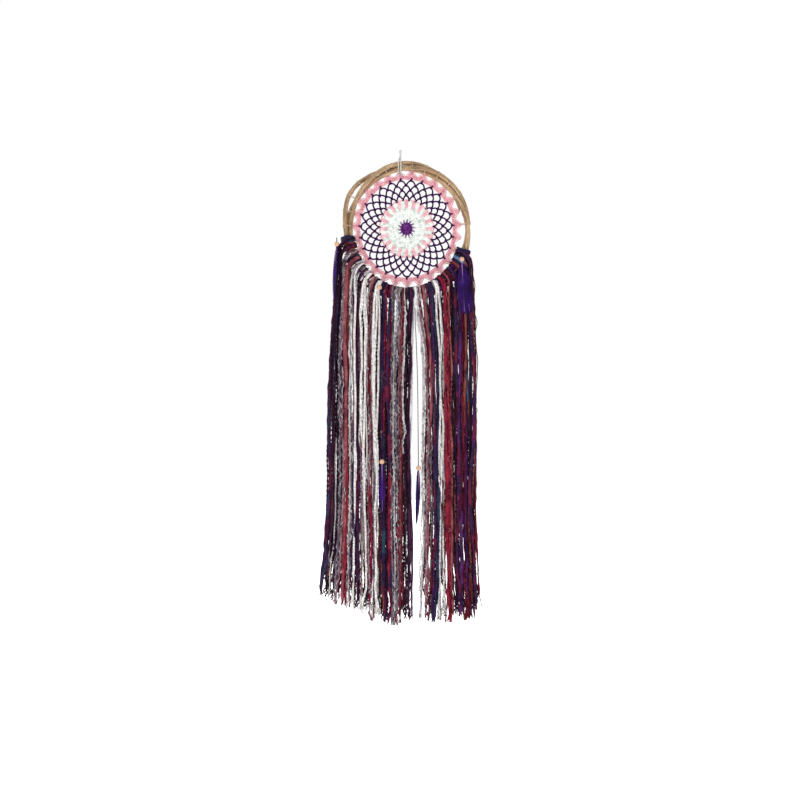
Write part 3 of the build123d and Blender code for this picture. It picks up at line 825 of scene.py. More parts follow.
# the way down of each bundle and strand, in metres
routes = {
    "yarn_01": [(-0.099, -0.0042, -0.1559), (-0.1012, -0.0046, -0.198), (-0.104, -0.004, -0.242),
        (-0.1075, -0.0048, -0.311), (-0.1095, -0.0042, -0.384), (-0.112, -0.0036, -0.464),
        (-0.111, -0.0044, -0.56), (-0.1185, -0.0038, -0.658), (-0.124, -0.0044, -0.714)],
    "yarn_02": [(-0.099, 0.0042, -0.1674), (-0.1004, 0.0038, -0.203), (-0.1008, 0.0044, -0.244),
        (-0.1024, 0.0036, -0.311), (-0.1015, 0.0046, -0.384), (-0.104, 0.0038, -0.464),
        (-0.1034, 0.0044, -0.56), (-0.1098, 0.0036, -0.658), (-0.1146, 0.0042, -0.722)],
    "yarn_03": [(-0.0912, -0.0016, -0.1785), (-0.092, -0.0022, -0.211), (-0.0932, -0.0014, -0.248),
        (-0.0945, -0.002, -0.311), (-0.093, -0.0024, -0.384), (-0.0956, -0.0012, -0.464),
        (-0.095, -0.0022, -0.56), (-0.1004, -0.0016, -0.658), (-0.104, -0.0024, -0.728)],
    "yarn_04": [(-0.0834, 0.0014, -0.1892), (-0.084, 0.001, -0.219), (-0.0852, 0.0018, -0.256),
        (-0.0865, 0.0008, -0.311), (-0.0848, 0.0016, -0.384), (-0.0868, 0.0006, -0.464),
        (-0.0864, 0.0014, -0.56), (-0.0904, 0.0008, -0.658), (-0.093, 0.0016, -0.731)],
    "yarn_05": [(-0.0756, -0.0012, -0.1993), (-0.0762, -0.0006, -0.228), (-0.0772, -0.0014, -0.262),
        (-0.078, -0.0008, -0.311), (-0.0765, -0.0016, -0.384), (-0.0776, -0.0004, -0.464),
        (-0.0774, -0.0014, -0.56), (-0.08, -0.0006, -0.658), (-0.082, -0.0012, -0.734)],
    "yarn_06": [(-0.0674, 0.0016, -0.2086), (-0.068, 0.002, -0.236), (-0.069, 0.0012, -0.268),
        (-0.0693, 0.0018, -0.311), (-0.0682, 0.0012, -0.384), (-0.0684, 0.002, -0.464),
        (-0.0674, 0.0014, -0.56), (-0.069, 0.0022, -0.658), (-0.07, 0.0016, -0.738)],
    "yarn_07": [(-0.0582, -0.0014, -0.2169), (-0.0592, -0.002, -0.256), (-0.06, -0.0012, -0.311),
        (-0.0595, -0.0018, -0.384), (-0.0586, -0.001, -0.464), (-0.0572, -0.0018, -0.56),
        (-0.058, -0.001, -0.658), (-0.059, -0.0016, -0.744)],
    "yarn_08": [(-0.048, 0.0012, -0.2243), (-0.0492, 0.0018, -0.262), (-0.05, 0.001, -0.311),
        (-0.0502, 0.0016, -0.384), (-0.0486, 0.0008, -0.464), (-0.0476, 0.0016, -0.56),
        (-0.0474, 0.001, -0.658), (-0.0484, 0.0018, -0.755)],
    "yarn_09": [(-0.0374, -0.0016, -0.2307), (-0.0384, -0.001, -0.264), (-0.0396, -0.0018, -0.311),
        (-0.0405, -0.0012, -0.384), (-0.039, -0.002, -0.464), (-0.0384, -0.0012, -0.56),
        (-0.0374, -0.0018, -0.658), (-0.0376, -0.001, -0.752)],
    "yarn_10": [(-0.026, 0.0014, -0.2358), (-0.027, 0.0008, -0.268), (-0.0286, 0.0014, -0.311),
        (-0.03, 0.0008, -0.384), (-0.0292, 0.0016, -0.464), (-0.028, 0.001, -0.56), (-0.027, 0.0018, -0.658),
        (-0.027, 0.0012, -0.757)],
    "yarn_11": [(-0.014, -0.0012, -0.2397), (-0.0152, -0.0018, -0.272), (-0.017, -0.0012, -0.311),
        (-0.0186, -0.0018, -0.384), (-0.018, -0.0008, -0.464), (-0.0172, -0.0016, -0.56),
        (-0.0166, -0.001, -0.658), (-0.0168, -0.0018, -0.761)],
    "yarn_12": [(-0.0024, 0.0016, -0.2422), (-0.0034, 0.001, -0.274), (-0.0055, 0.0016, -0.311),
        (-0.0072, 0.001, -0.384), (-0.0076, 0.0018, -0.464), (-0.0064, 0.0012, -0.56),
        (-0.006, 0.0018, -0.658), (-0.0064, 0.001, -0.762)],
    "yarn_13": [(0.007, -0.0014, -0.2435), (0.0064, -0.0008, -0.276), (0.005, -0.0016, -0.311),
        (0.0038, -0.001, -0.384), (0.003, -0.0018, -0.464), (0.0042, -0.001, -0.56),
        (0.0044, -0.0016, -0.658), (0.0036, -0.0008, -0.759)],
    "yarn_14": [(0.017, 0.0012, -0.2434), (0.0156, 0.0018, -0.275), (0.0136, 0.0012, -0.311),
        (0.0132, 0.0018, -0.384), (0.012, 0.001, -0.464), (0.0134, 0.0016, -0.56), (0.014, 0.001, -0.658),
        (0.0124, 0.0016, -0.755)],
    "yarn_15": [(0.028, -0.0016, -0.2419), (0.0316, -0.001, -0.272), (0.0395, -0.0016, -0.311),
        (0.0413, -0.001, -0.384), (0.0406, -0.0018, -0.464), (0.039, -0.001, -0.56), (0.037, -0.0016, -0.658),
        (0.0358, -0.001, -0.75)],
    "yarn_16": [(0.039, 0.0014, -0.2391), (0.0416, 0.0018, -0.27), (0.0478, 0.0012, -0.311),
        (0.0492, 0.0018, -0.384), (0.0486, 0.0012, -0.464), (0.0474, 0.0018, -0.56), (0.046, 0.0012, -0.658),
        (0.0454, 0.0016, -0.755)],
    "yarn_17": [(0.0494, -0.0012, -0.2351), (0.0514, -0.0018, -0.268), (0.056, -0.001, -0.311),
        (0.0572, -0.0016, -0.384), (0.0568, -0.0008, -0.464), (0.0564, -0.0016, -0.56),
        (0.0556, -0.001, -0.658), (0.0556, -0.0018, -0.758)],
    "yarn_18": [(0.0602, 0.0016, -0.2298), (0.0618, 0.001, -0.264), (0.065, 0.0018, -0.311),
        (0.0654, 0.0012, -0.384), (0.0656, 0.0018, -0.464), (0.0658, 0.001, -0.56), (0.0654, 0.0016, -0.658),
        (0.066, 0.001, -0.754)],
    "yarn_19": [(0.0708, -0.0014, -0.2233), (0.0722, -0.002, -0.26), (0.0746, -0.0012, -0.311),
        (0.0742, -0.0018, -0.384), (0.0748, -0.001, -0.464), (0.0752, -0.0018, -0.56),
        (0.0756, -0.0012, -0.658), (0.0766, -0.0018, -0.757)],
    "yarn_20": [(0.0806, 0.0012, -0.2157), (0.0822, 0.0018, -0.256), (0.0842, 0.001, -0.311),
        (0.0834, 0.0016, -0.384), (0.084, 0.001, -0.464), (0.084, 0.0018, -0.56), (0.0852, 0.001, -0.658),
        (0.0866, 0.0016, -0.746)],
    "yarn_21": [(0.0898, -0.0012, -0.2072), (0.0906, -0.0006, -0.234), (0.0918, -0.0012, -0.264),
        (0.0932, -0.0008, -0.311), (0.0924, -0.0016, -0.384), (0.093, -0.0008, -0.464),
        (0.0924, -0.0014, -0.56), (0.094, -0.0006, -0.658), (0.0958, -0.0012, -0.748)],
    "yarn_22": [(0.0978, 0.0006, -0.1978), (0.0988, 0.001, -0.228), (0.1002, 0.0004, -0.262),
        (0.1014, 0.001, -0.311), (0.1014, 0.0004, -0.384), (0.1012, 0.0012, -0.464), (0.1, 0.0006, -0.56),
        (0.1026, 0.0012, -0.658), (0.105, 0.0006, -0.754)],
    "yarn_23": [(0.1056, 0.0042, -0.1876), (0.1066, 0.0048, -0.22), (0.108, 0.0042, -0.258),
        (0.1094, 0.0048, -0.311), (0.1096, 0.0042, -0.384), (0.109, 0.005, -0.464), (0.1078, 0.0044, -0.56),
        (0.1106, 0.005, -0.658), (0.1144, 0.0044, -0.752)],
    "yarn_24": [(0.1108, -0.0044, -0.1769), (0.112, -0.004, -0.214), (0.1136, -0.0046, -0.256),
        (0.1156, -0.004, -0.311), (0.1166, -0.0048, -0.384), (0.1156, -0.004, -0.464),
        (0.1136, -0.0046, -0.56), (0.1176, -0.004, -0.658), (0.123, -0.0046, -0.737)],
    "tie_left": [(-0.1014, -0.0126, -0.1445), (-0.1014, -0.0126, -0.151)],
    "tie_right": [(0.0986, -0.0138, -0.167), (0.0978, -0.015, -0.1713)],
    "strand_middle": [(-0.0316, -0.006, -0.236), (-0.0314, -0.0092, -0.264), (-0.0318, -0.0098, -0.311),
        (-0.031, -0.0092, -0.368), (-0.0304, -0.0098, -0.428), (-0.0294, -0.0094, -0.498)],
    "strand_gap": [(0.0228, -0.001, -0.241), (0.0236, -0.0016, -0.272), (0.0256, -0.001, -0.311),
        (0.0278, -0.0018, -0.372), (0.0282, -0.0012, -0.438), (0.029, -0.002, -0.5083)],
}

# each yarn: its make, its finish, then in millimetres how far right and back of the bundle's middle it lies
# and its width; where it changes on the way down, how far back it is lower down, and the share of the
# bundle's length where it ends
fringe = {
    "01": [("slub", "variegated", -2.2, 2.4, 4.6, -3.2), ("fuzzy", "black", 2.2, -2.2, 4.0),
           ("fuzzy", "plum", -1.8, -2.4, 3.6), ("boucle", "greyDark", 0.4, 2.5, 3.6),
           ("slub", "sunset", -3.4, 1.5, 3.2), ("plied", "navy", 3.6, 3, 2.6),
           ("fuzzy", "black", -0.4, 0.6, 2.8)],
    "02": [("fuzzy", "black", -2.8, -1.4, 4.0), ("fuzzy", "plum", 2.4, -1.8, 3.8),
           ("plied", "cream", -0.4, 3.4, 2.5, -3.6), ("boucle", "brownRed", 3.8, 2, 3.4),
           ("slub", "variegated", -3.6, 3, 3.2), ("fuzzy", "black", 0.6, 0.4, 3.0)],
    "03": [("boucle", "greyDark", -2.4, -2, 4.4), ("boucle", "mauve", 2.2, -1.6, 4.2),
           ("slub", "variegated", 0.2, 0.8, 4.0), ("fuzzy", "plum", -3.8, 3, 3.2),
           ("fuzzy", "black", 3.6, 3, 3.2), ("plied", "salmon", 4.2, -0.4, 2.4)],
    "04": [("slub", "salmon", -2.0, -2.6, 4.8), ("slub", "rust", 2.2, -1.2, 3.8),
           ("slub", "crimson", 0.6, 0.8, 4.0, -3.0), ("fuzzy", "black", -3.8, 3, 3.2),
           ("boucle", "brownRed", 4.0, 2.8, 3.4)],
    "05": [("boucle", "greyLight", -2.6, -1.8, 4.0), ("plied", "cream", 3.8, -2.8, 3.8),
           ("boucle", "mauve", 0.4, 0.6, 3.8), ("fuzzy", "plum", -3.6, 3, 3.4),
           ("slub", "navy", 2.8, 3, 3.4, -2.8)],
    "06": [("fuzzy", "plum", 1.8, -2.2, 3.8), ("fuzzy", "black", -1.6, -0.6, 3.4),
           ("plied", "cream", -4.0, 0.8, 3.0), ("boucle", "greyDark", 3.6, 2.2, 3.6),
           ("slub", "purple", 0.4, 3.2, 3.4, -2.6)],
    "07": [("plied", "cream", -2.6, -2.8, 3.9, 3.0), ("plied", "cream", 1.8, -2.2, 3.6),
           ("plied", "cream", 4.2, 0.4, 2.8, 3.0), ("boucle", "mauve", -4.2, 2.2, 3.4, -2.8),
           ("fuzzy", "black", 1.4, 3, 3.4)],
    "08": [("boucle", "mauve", -2.2, -2.4, 4.4), ("boucle", "brownRed", 2.2, -1.8, 4.0),
           ("plied", "cream", 3.8, 2.0, 3.0, -2.6), ("fuzzy", "plum", -3.6, 2.6, 3.4),
           ("slub", "crimson", 0.4, 3.2, 3.4, -3.2)],
    "09": [("plied", "cream", -4.8, -2.6, 4.0, 3.2), ("plied", "cream", -0.6, -3.2, 4.0),
           ("plied", "cream", 3.2, -1.8, 3.6, 3.0), ("plied", "cream", -2.8, 0.8, 3.2),
           ("fuzzy", "black", 5.0, 2.0, 3.4, -2.6), ("boucle", "greyDark", -3.4, 3.4, 3.8, -3.0)],
    "10": [("slub", "forge", 1.0, -2.2, 5.0), ("fuzzy", "black", -3.2, -1.2, 3.6),
           ("boucle", "crimson", 3.6, -2.8, 4.4, 3.0), ("fuzzy", "black", 0.2, 2.2, 3.4),
           ("slub", "navy", 4.0, 2.2, 3.2), ("slub", "rust", -2.4, 3.2, 3.0, -2.4)],
    "11": [("slub", "sunset", -2.0, -2.4, 4.8), ("boucle", "greyDark", 3.0, -1.8, 4.2),
           ("slub", "crimson", 1.0, 1.0, 4.4, -3.2), ("fuzzy", "black", -4.0, 2.4, 3.4),
           ("fuzzy", "plum", 3.6, 3.2, 3.2)],
    "12": [("boucle", "greyLight", -3.6, -2.4, 4.2), ("boucle", "greyDark", 0.4, -2.8, 4.4),
           ("boucle", "mauve", 4.0, -1.6, 4.0), ("fuzzy", "plum", -1.4, 1.8, 3.4),
           ("slub", "crimson", 2.6, 3.2, 3.8, -2.2)],
    "13": [("boucle", "brownRed", -3.6, -2.4, 4.4), ("boucle", "greyLight", 0.6, -1.4, 3.6, 1.0, 0.5),
           ("fuzzy", "black", 4.6, -1.6, 3.6), ("slub", "burgundy", -1.2, 1.6, 3.6),
           ("fuzzy", "plum", 2.4, 3.2, 3.0)],
    "14": [("fuzzy", "black", -2.8, -1.8, 3.2), ("slub", "plum", 0.6, -2.6, 4.2),
           ("plied", "purple", 3.8, -1.2, 2.8), ("plied", "cream", 4.8, 1.6, 3.2),
           ("boucle", "greyDark", 2.0, 2.8, 3.0), ("thin", "black", -0.4, -3.6, 1.0)],
    "15": [("boucle", "greyLight", -2.0, -2.4, 4.4), ("boucle", "mauve", 2.4, -2.0, 4.2),
           ("slub", "cream", -4.8, -0.8, 4.6, -0.8, 0.17), ("slub", "cream", -5.6, 1.8, 4.2, 1.8, 0.2),
           ("plied", "cream", -4.4, 2.4, 2.4), ("boucle", "brownRed", 1.0, 2.2, 3.8)],
    "16": [("slub", "salmon", -1.6, -2.6, 4.2), ("boucle", "greyDark", 3.0, -1.6, 3.8),
           ("slub", "crimson", -3.4, 1.0, 3.8, -2.4), ("boucle", "brownRed", 1.2, 1.6, 3.8),
           ("fuzzy", "plum", 4.4, 3.2, 3.0)],
    "17": [("slub", "sunset", -2.2, -2.8, 4.4), ("slub", "navy", 2.2, -2.2, 4.0),
           ("fuzzy", "black", -4.2, 2.2, 3.2), ("slub", "forge", 3.6, 1.2, 3.6, -2.8),
           ("fuzzy", "plum", 0.2, 3.0, 3.4)],
    "18": [("plied", "cream", -3.4, -2.6, 3.8), ("plied", "cream", 0.6, -3.0, 3.8, 3.0),
           ("boucle", "greyLight", 4.6, -1.8, 3.0), ("boucle", "greyDark", -1.4, 2.2, 3.6, -1.6),
           ("plied", "cream", 3.0, 2.2, 3.0, -2.6)],
    "19": [("slub", "crimson", -2.2, -2.8, 5.0), ("boucle", "crimson", 2.8, -2.2, 5.0),
           ("slub", "burgundy", 0.4, 1.4, 4.4), ("fuzzy", "black", 4.6, 3.0, 3.2),
           ("fuzzy", "plum", -4.4, 2.8, 3.0)],
    "20": [("slub", "salmon", -3.0, -2.4, 3.8), ("fuzzy", "black", 1.0, -1.8, 3.8),
           ("fuzzy", "plum", 4.4, -1.2, 3.4), ("boucle", "brownRed", -1.4, 2.0, 3.6),
           ("slub", "lightBlue", 2.8, 2.8, 3.0, -2.0, 0.62)],
    "21": [("slub", "purple", 2.0, -2.4, 4.4), ("slub", "sunset", -2.2, -2.0, 4.0),
           ("fuzzy", "black", -4.4, 1.6, 3.2), ("slub", "navy", 4.4, 1.6, 3.4),
           ("boucle", "mauve", 0.0, 2.8, 3.6)],
    "22": [("boucle", "burgundy", -2.4, -1.6, 4.6), ("slub", "rust", 2.4, -2.4, 4.2, 2.4),
           ("slub", "burgundy", 0.4, 1.2, 4.2), ("fuzzy", "plum", -4.0, 2.8, 3.2),
           ("slub", "purple", 4.2, 2.2, 3.6, -2.8)],
    "23": [("slub", "lightBlue", -3.0, -2.6, 4.2, 2.0), ("slub", "rust", 2.8, -1.6, 4.4),
           ("boucle", "burgundy", -0.4, 0.4, 4.0, -2.6), ("fuzzy", "black", 4.6, 2.2, 3.0),
           ("slub", "sunset", -4.2, 2.6, 3.6)],
    "24": [("slub", "sunset", -1.2, -1.6, 4.4), ("fuzzy", "black", -4.0, 0.6, 3.4),
           ("boucle", "brownRed", 2.4, 1.4, 3.8), ("slub", "navy", -2.8, 2.8, 3.4),
           ("thin", "black", 3.6, -1.2, 1.2), ("fuzzy", "plum", 1.0, 3.2, 3.0)],
}


def yarnLine(path, run, right, back, lowBack, share, shorter, reach, dice):
    # where one yarn of a bundle runs: gathered at its knot, loose below, curled where it ends
    end = run[-1] * share - shorter
    stop = int(np.searchsorted(run, end))
    fan = 0.55 + 0.45 * eased(run, 0.01, 0.07)
    loose = eased(run, 0.01, 0.06)
    low = eased(run, end - 0.12, end)
    sway = loose * (wander(run, 0.085, dice) * 0.0026 + wander(run, 0.026, dice) * (0.0009 + 0.0022 * low))
    nod = loose * (wander(run, 0.06, dice) * 0.0014 + wander(run, 0.024, dice) * (0.0006 + 0.0012 * low))
    sway = sway + eased(run, end - 0.16, end) * wander(run, 0.011, dice) * 0.0014
    swap = eased(run, 0.2, 0.38)
    fray = eased(run, end - 0.06, end) * dice.uniform(-0.003, 0.003)
    behind = (back * (1 - swap) + lowBack * swap) / 1000
    off = np.stack([right / 1000 * fan + sway + fray, behind * (0.7 + 0.3 * fan) + nod], axis=1)
    size = np.linalg.norm(off, axis=1, keepdims=True)
    off *= np.minimum(1, reach / np.maximum(size, 1e-6))
    line = path.copy()
    line[:, :2] += off
    return line[:stop], run[:stop]


def pliedYarn(skein, line, run, width, finish, dice, plies=3):
    radius = width / 2000
    length = run[-1]
    lay = 2 * math.pi * (run / dice.uniform(0.012, 0.017) + wander(run, 0.06, dice) * 0.15)
    opening = 1 + 2.4 * eased(run, length - dice.uniform(0.012, 0.026), length)
    for ply in range(plies):
        turn = lay + 2 * math.pi * ply / plies
        away = radius * 0.5 * opening * (1 + 0.12 * wander(run, 0.03, dice))
        thread = line + np.stack([away * np.cos(turn), away * np.sin(turn), 0 * turn], axis=1)
        cut = len(thread) - dice.integers(0, 4)
        thick = radius * 0.56 * (1 - 0.55 * eased(run, length - 0.008, length))
        addTube(skein, thread[:cut], thick[:cut], 6, finish, wayStart=dice.uniform(0, 3))


def slubYarn(skein, line, run, width, finish, dice):
    radius = width / 2000
    length = run[-1]
    swell = 0.86 + 0.3 * wander(run, 0.045, dice) + 0.12 * wander(run, 0.014, dice)
    thin = 1 - 0.75 * eased(run, length - 0.014, length)
    turns = np.arange(8) * 2 * math.pi / 8
    spin = (run * dice.uniform(180, 260))[:, None]
    lobes = 1 + 0.16 * np.cos(2 * turns[None, :] + spin) + 0.1 * np.cos(3 * turns[None, :] - spin * 1.3)
    addTube(skein, line, radius * (swell * thin)[:, None] * lobes, 8, finish, wayStart=dice.uniform(0, 3))
    for tail in range(3):
        bits = line[-9:] + np.linspace(0, 1, 9)[:, None] * dice.uniform(-1, 1, 3) * (0.0024, 0.0018, 0.0012)
        addTube(skein, bits, np.linspace(radius * 0.4, 0.00012, 9), 4, finish, wayStart=dice.uniform(0, 3))
    addHairs(skein, line, radius + 0.0015, 520, finish, dice, 0.00015)


def boucleYarn(skein, line, run, width, finish, dice, curlFinish=None):
    # a core with two kinked threads that wander round it
    radius = width / 2000
    fine = np.linspace(0, run[-1], int(run[-1] / 0.0013))
    core = np.stack([np.interp(fine, run, line[:, k]) for k in range(3)], axis=1)
    thick = radius * (0.62 + 0.16 * wander(run, 0.02, dice))
    addTube(skein, line, thick, 5, finish, wayStart=dice.uniform(0, 3))
    for curl in range(2):
        kinks = [wander(fine, 0.0038, dice), wander(fine, 0.0036, dice), 0.5 * wander(fine, 0.0032, dice)]
        thread = core + np.stack(kinks, axis=1) * radius
        shown = finish if curl or curlFinish is None else curlFinish
        addTube(skein, thread, radius * 0.27, 4, shown, wayStart=dice.uniform(0, 3))


def fuzzyYarn(skein, line, run, width, finish, dice):
    radius = width / 2000
    pliedYarn(skein, line, run, width * 0.8, finish, dice, plies=2)
    addHairs(skein, line, radius + 0.0019, 640, finish, dice, 0.00015)


def thinYarn(skein, line, run, width, finish, dice):
    slack = line.copy()
    slack[:, 0] += 0.0022 * wander(run, 0.02, dice) * eased(run, 0.02, 0.08)
    slack[:, 1] += 0.0014 * wander(run, 0.016, dice) * eased(run, 0.02, 0.08)
    addTube(skein, slack, width / 2000, 5, finish, wayStart=dice.uniform(0, 3))


# reach: how far from a bundle's middle a yarn's outside lies at most; gain: how much fuller a yarn hangs
# than it is wound; knotReach: how far in from the canes it starts; fillWidth: its back yarns, in millimetres
bundle = {"diameter": 0.0138, "reach": 0.0073, "gain": 1.22, "knotReach": 0.0088, "fillWidth": 3.0}
bodyOf = {node: body for body, nodes in frame["record"]["behaviour"]["bodies"].items() for node in nodes}
# the finish of a boucle yarn's curls
curlOf = {"greyLight": "cream", "greyDark": "greyLight", "mauve": "greyLight", "brownRed": "mauve",
          "crimson": "salmon", "burgundy": "crimson"}
makers = {"plied": pliedYarn, "slub": slubYarn, "boucle": boucleYarn, "fuzzy": fuzzyYarn, "thin": thinYarn}
backYarns = [("fuzzy", "black"), ("boucle", "greyDark"), ("fuzzy", "plum"), ("boucle", "brownRed"),
             ("fuzzy", "black"), ("slub", "burgundy")]
for number, (label, strands) in enumerate(fringe.items()):
    dice = np.random.default_rng(400 + number)
    node = "yarn_" + label
    knot, out = aroundHoop(hoop["firstKnot"] - hoop["knotPitch"] * number)[:2]
    inward = bundle["knotReach"]
    overKnot = [(knot.x - inward * out.x, -0.0092, knot.z - inward * out.z),
                (knot.x + 0.0008 * out.x, -0.0128, knot.z + 0.0008 * out.z),
                (knot.x + (routes[node][0][0] - knot.x) * 0.7, -0.0102, knot.z - 0.0092)]
    path, run = nurbsLine(overKnot + routes[node])
    # darker yarns fill each bundle's back, but not beside the parting between bundles 14 and 15
    fill = []
    for place in (-4.8, -1.4, 2.0, 5.2):
        make, name = backYarns[dice.integers(len(backYarns))]
        if (label == "14" and place > 0) or (label == "15" and place < 0):
            continue
        fill.append((make, name, place + dice.uniform(-0.8, 0.8), dice.uniform(3.2, 5.4), bundle["fillWidth"],
                     dice.uniform(-2, 5)))
    skein = newSkein()
    hung = strands + fill
    curls = {curlOf[strand[1]] for strand in hung if strand[0] == "boucle"}
    names = sorted({strand[1] for strand in hung} | curls)
    for place, (make, name, right, back, width, *rest) in enumerate(hung):
        lowBack = rest[0] if rest else back
        share = rest[1] if len(rest) > 1 else 1
        shorter = dice.uniform(0, 0.036) if place > 2 else 0
        width *= 1 if make == "plied" else bundle["gain"]
        reach = bundle["reach"] - 0.5 * width / 1000
        line, lineRun = yarnLine(path, run, right, back, lowBack, share, shorter, reach, dice)
        curl = [names.index(curlOf[name])] if make == "boucle" else []
        makers[make](skein, line, lineRun, width, names.index(name), dice, *curl)
    yarn = woundMesh("fringe.bundle" + label, skein, [yarns[name] for name in names])
    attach(yarn, bodyOf[node])
    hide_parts(node)
print("fringe hung")


# knots: each bundle is tied round the canes with a lark's head

# some are covered by turns of one yarn; the others show their bundle's own yarns
covers = {1: "navy", 2: "burgundy", 4: "navy", 7: "burgundy", 9: "purple", 14: "navy", 18: "purple",
          20: "burgundy", 22: "purple", 23: "navy", 24: "forge"}
knots = {"width": 4.4, "share": 0.86, "turnRadius": 0.0085, "bightRadius": 0.0015, "allCovered": (1, 4, 14)}
knotSkein = newSkein()
knotNames = list(yarnTones)
for number in range(1, 25):
    dice = np.random.default_rng(900 + number)
    knotAngle = hoop["firstKnot"] - hoop["knotPitch"] * (number - 1)
    middle, out, along = (np.array(part) for part in aroundHoop(knotAngle))
    back = np.array((0.0, 1.0, 0.0))
    strands = sorted(fringe[f"{number:02d}"], key=lambda strand: strand[2])
    turns = np.linspace(-0.1, 2 * math.pi + 0.1, 40)
    for n, place in enumerate((-4.1, -1.4, 1.3, 4.0)):
        strand = strands[n * (len(strands) - 1) // 3]
        make, name, width = strand[0], strand[1], strand[4]
        if number in covers:
            # the last turn shows the bundle's own yarn, except where the cover goes all over
            make, width = "slub", knots["width"]
            name = covers[number] if n != 3 or number in knots["allCovered"] else name
        width *= knots["share"]
        size = knots["turnRadius"] + width / 2000 + dice.uniform(-0.0002, 0.0004)
        tilt = dice.uniform(-0.0010, 0.0010)
        ring = (middle - np.outer(np.cos(turns), out) * size + np.outer(np.sin(turns), back) * size
                + np.outer(place / 1000 + tilt * np.cos(turns) + 0.0005 * np.sin(3 * turns), along))
        ringRun = size * (turns - turns[0])
        makers[make](knotSkein, ring, ringRun, width, knotNames.index(name), dice)
    if number % 3 != 1 or number in covers:
        # the bight that lies across the turns, in front
        across = np.linspace(-1, 1, 15)
        name = covers.get(number, strands[len(strands) // 2][1])
        forward = 0.0125 + 0.0010 * (1 - across ** 2) - 0.004 * across ** 4
        high = (2.2 + dice.uniform(-1.5, 1.5)) / 1000
        bow = middle + high * out + np.outer(across * 0.0058, along) - np.outer(forward, back)
        thick = knots["bightRadius"] * (1 - 0.35 * across ** 2) * (1 + 0.15 * np.sin(9 * across))
        addTube(knotSkein, bow, thick, 7, knotNames.index(name))
        addHairs(knotSkein, bow, 0.0032, 900, knotNames.index(name), dice)
knotsPiece = woundMesh("fringe.knots", knotSkein, [yarns[name] for name in knotNames])
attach(knotsPiece, "hoop")
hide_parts("fringe_knots")
print("knots tied")


# beads stay as they are packed, in a turned wood finish

for beadName in ("bead_left", "bead_right", "bead_top", "bead_middle", "bead_gap"):
    bead = frame["nodes"][beadName]
    bead.data.materials.clear()
    bead.data.materials.append(turnedWood)


# feathers: a tapered shaft with two rows of barbs, split here and there

feathers = {
    # the quill's top, then its lean to the right and its turn about the shaft in degrees
    "feather_left": {"top": (-0.1014, -0.0126, -0.1525), "length": 0.09, "width": 0.0135, "lean": -3,
                     "turn": -62},
    "feather_right_front": {"top": (0.0978, -0.0162, -0.1795), "length": 0.085, "width": 0.0182, "lean": 3,
                            "turn": 0},
    "feather_right_back": {"top": (0.0978, -0.0134, -0.1795), "length": 0.084, "width": 0.0192, "lean": 9,
                           "turn": 0},
    "feather_middle": {"top": (-0.0294, -0.0094, -0.4995), "length": 0.082, "width": 0.0102, "lean": 0.6,
                       "turn": 0},
    "feather_gap": {"top": (0.029, -0.002, -0.5098), "length": 0.09, "width": 0.0112, "lean": -2, "turn": 50},
}


def makeFeather(name, top, length, width, lean, turn):
    dice = random.Random(name)
    barbs = 54
    broad = length * 0.9 / barbs * 2.6
    bpy.ops.mesh.primitive_grid_add(x_subdivisions=7, y_subdivisions=2, size=1, location=(0, 0, 0))
    barb = bpy.context.object
    bpy.ops.object.mode_set(mode="EDIT")
    bpy.ops.mesh.select_all(action="SELECT")
    bpy.ops.transform.translate(value=(0.5, 0, 0))
    bpy.ops.object.mode_set(mode="OBJECT")
    rows = []
    for side in (-1, 1):
        gap = 0
        for n in range(barbs):
            down = (n + 0.5) / barbs
            if dice.random() < 0.07:
                gap = dice.uniform(0.03, 0.09)
            gap *= 0.6
            full = math.sin(math.pi * (0.08 + 0.9 * down) ** 0.85) ** 0.6
            out = width / 2 * full * dice.uniform(0.94, 1.03)
            root = -length * (0.04 + 0.92 * down)
            drop = min(out * 1.1, -root * 0.5 + 0.002, (length + root) * 0.8 + 0.0003) * (1 + gap)
            copy = barb.copy()
            copy.data = barb.data.copy()
            bpy.context.scene.collection.objects.link(copy)
            for corner in copy.data.vertices:
                along, across = corner.co.x, corner.co.y
                narrow = 1 - 0.72 * along ** 3
                corner.co = (side * out * math.sin(along * 1.45) / math.sin(1.45),
                             0.0007 * math.sin(along * 2.6) - 0.00018 * (n % 3) + across * 0.0003,
                             root - drop * along ** 1.4 + across * broad * narrow)
            layer = copy.data.uv_layers.active
            for loop in copy.data.loops:
                here = barb.data.vertices[loop.vertex_index].co
                layer.data[loop.index].uv = (here.x, down * length + here.y * broad * 0.5)
            rows.append(copy)
    bpy.data.objects.remove(barb)
    vane = joined(rows, name + ".vane")
    solid = vane.modifiers.new("thickness", "SOLIDIFY")
    solid.thickness = 0.00016
    only(vane)
    bpy.ops.object.modifier_apply(modifier="thickness")
    vane.data.materials.append(violetFeather)
    bpy.ops.mesh.primitive_cone_add(vertices=10, radius1=0.00022, radius2=0.00075, depth=length * 0.94,
                                    location=(0, -0.0008, -length * 0.47))
    shaft = bpy.context.object
    bpy.ops.object.transform_apply(location=True, rotation=True, scale=True)
    shaft.data.materials.append(shaftHorn)
    feather = joined([vane, shaft], "feather." + name[8:])
    for corner in feather.data.vertices:
        # a light curl down its length
        part = -corner.co.z / length
        corner.co.y -= 0.0012 * math.sin(part * math.pi)
    leaned = Matrix.Rotation(math.radians(-lean), 4, "Y") @ Matrix.Rotation(math.radians(turn), 4, "Z")
    feather.data.transform(Matrix.Translation(top) @ leaned)
    smooth(feather, 40)
    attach(feather, bodyOf[name])
    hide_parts(name)
    return feather


featherPieces = {name: makeFeather(name, **values) for name, values in feathers.items()}
print("feathers made")


# the thin strands that carry beads and feathers

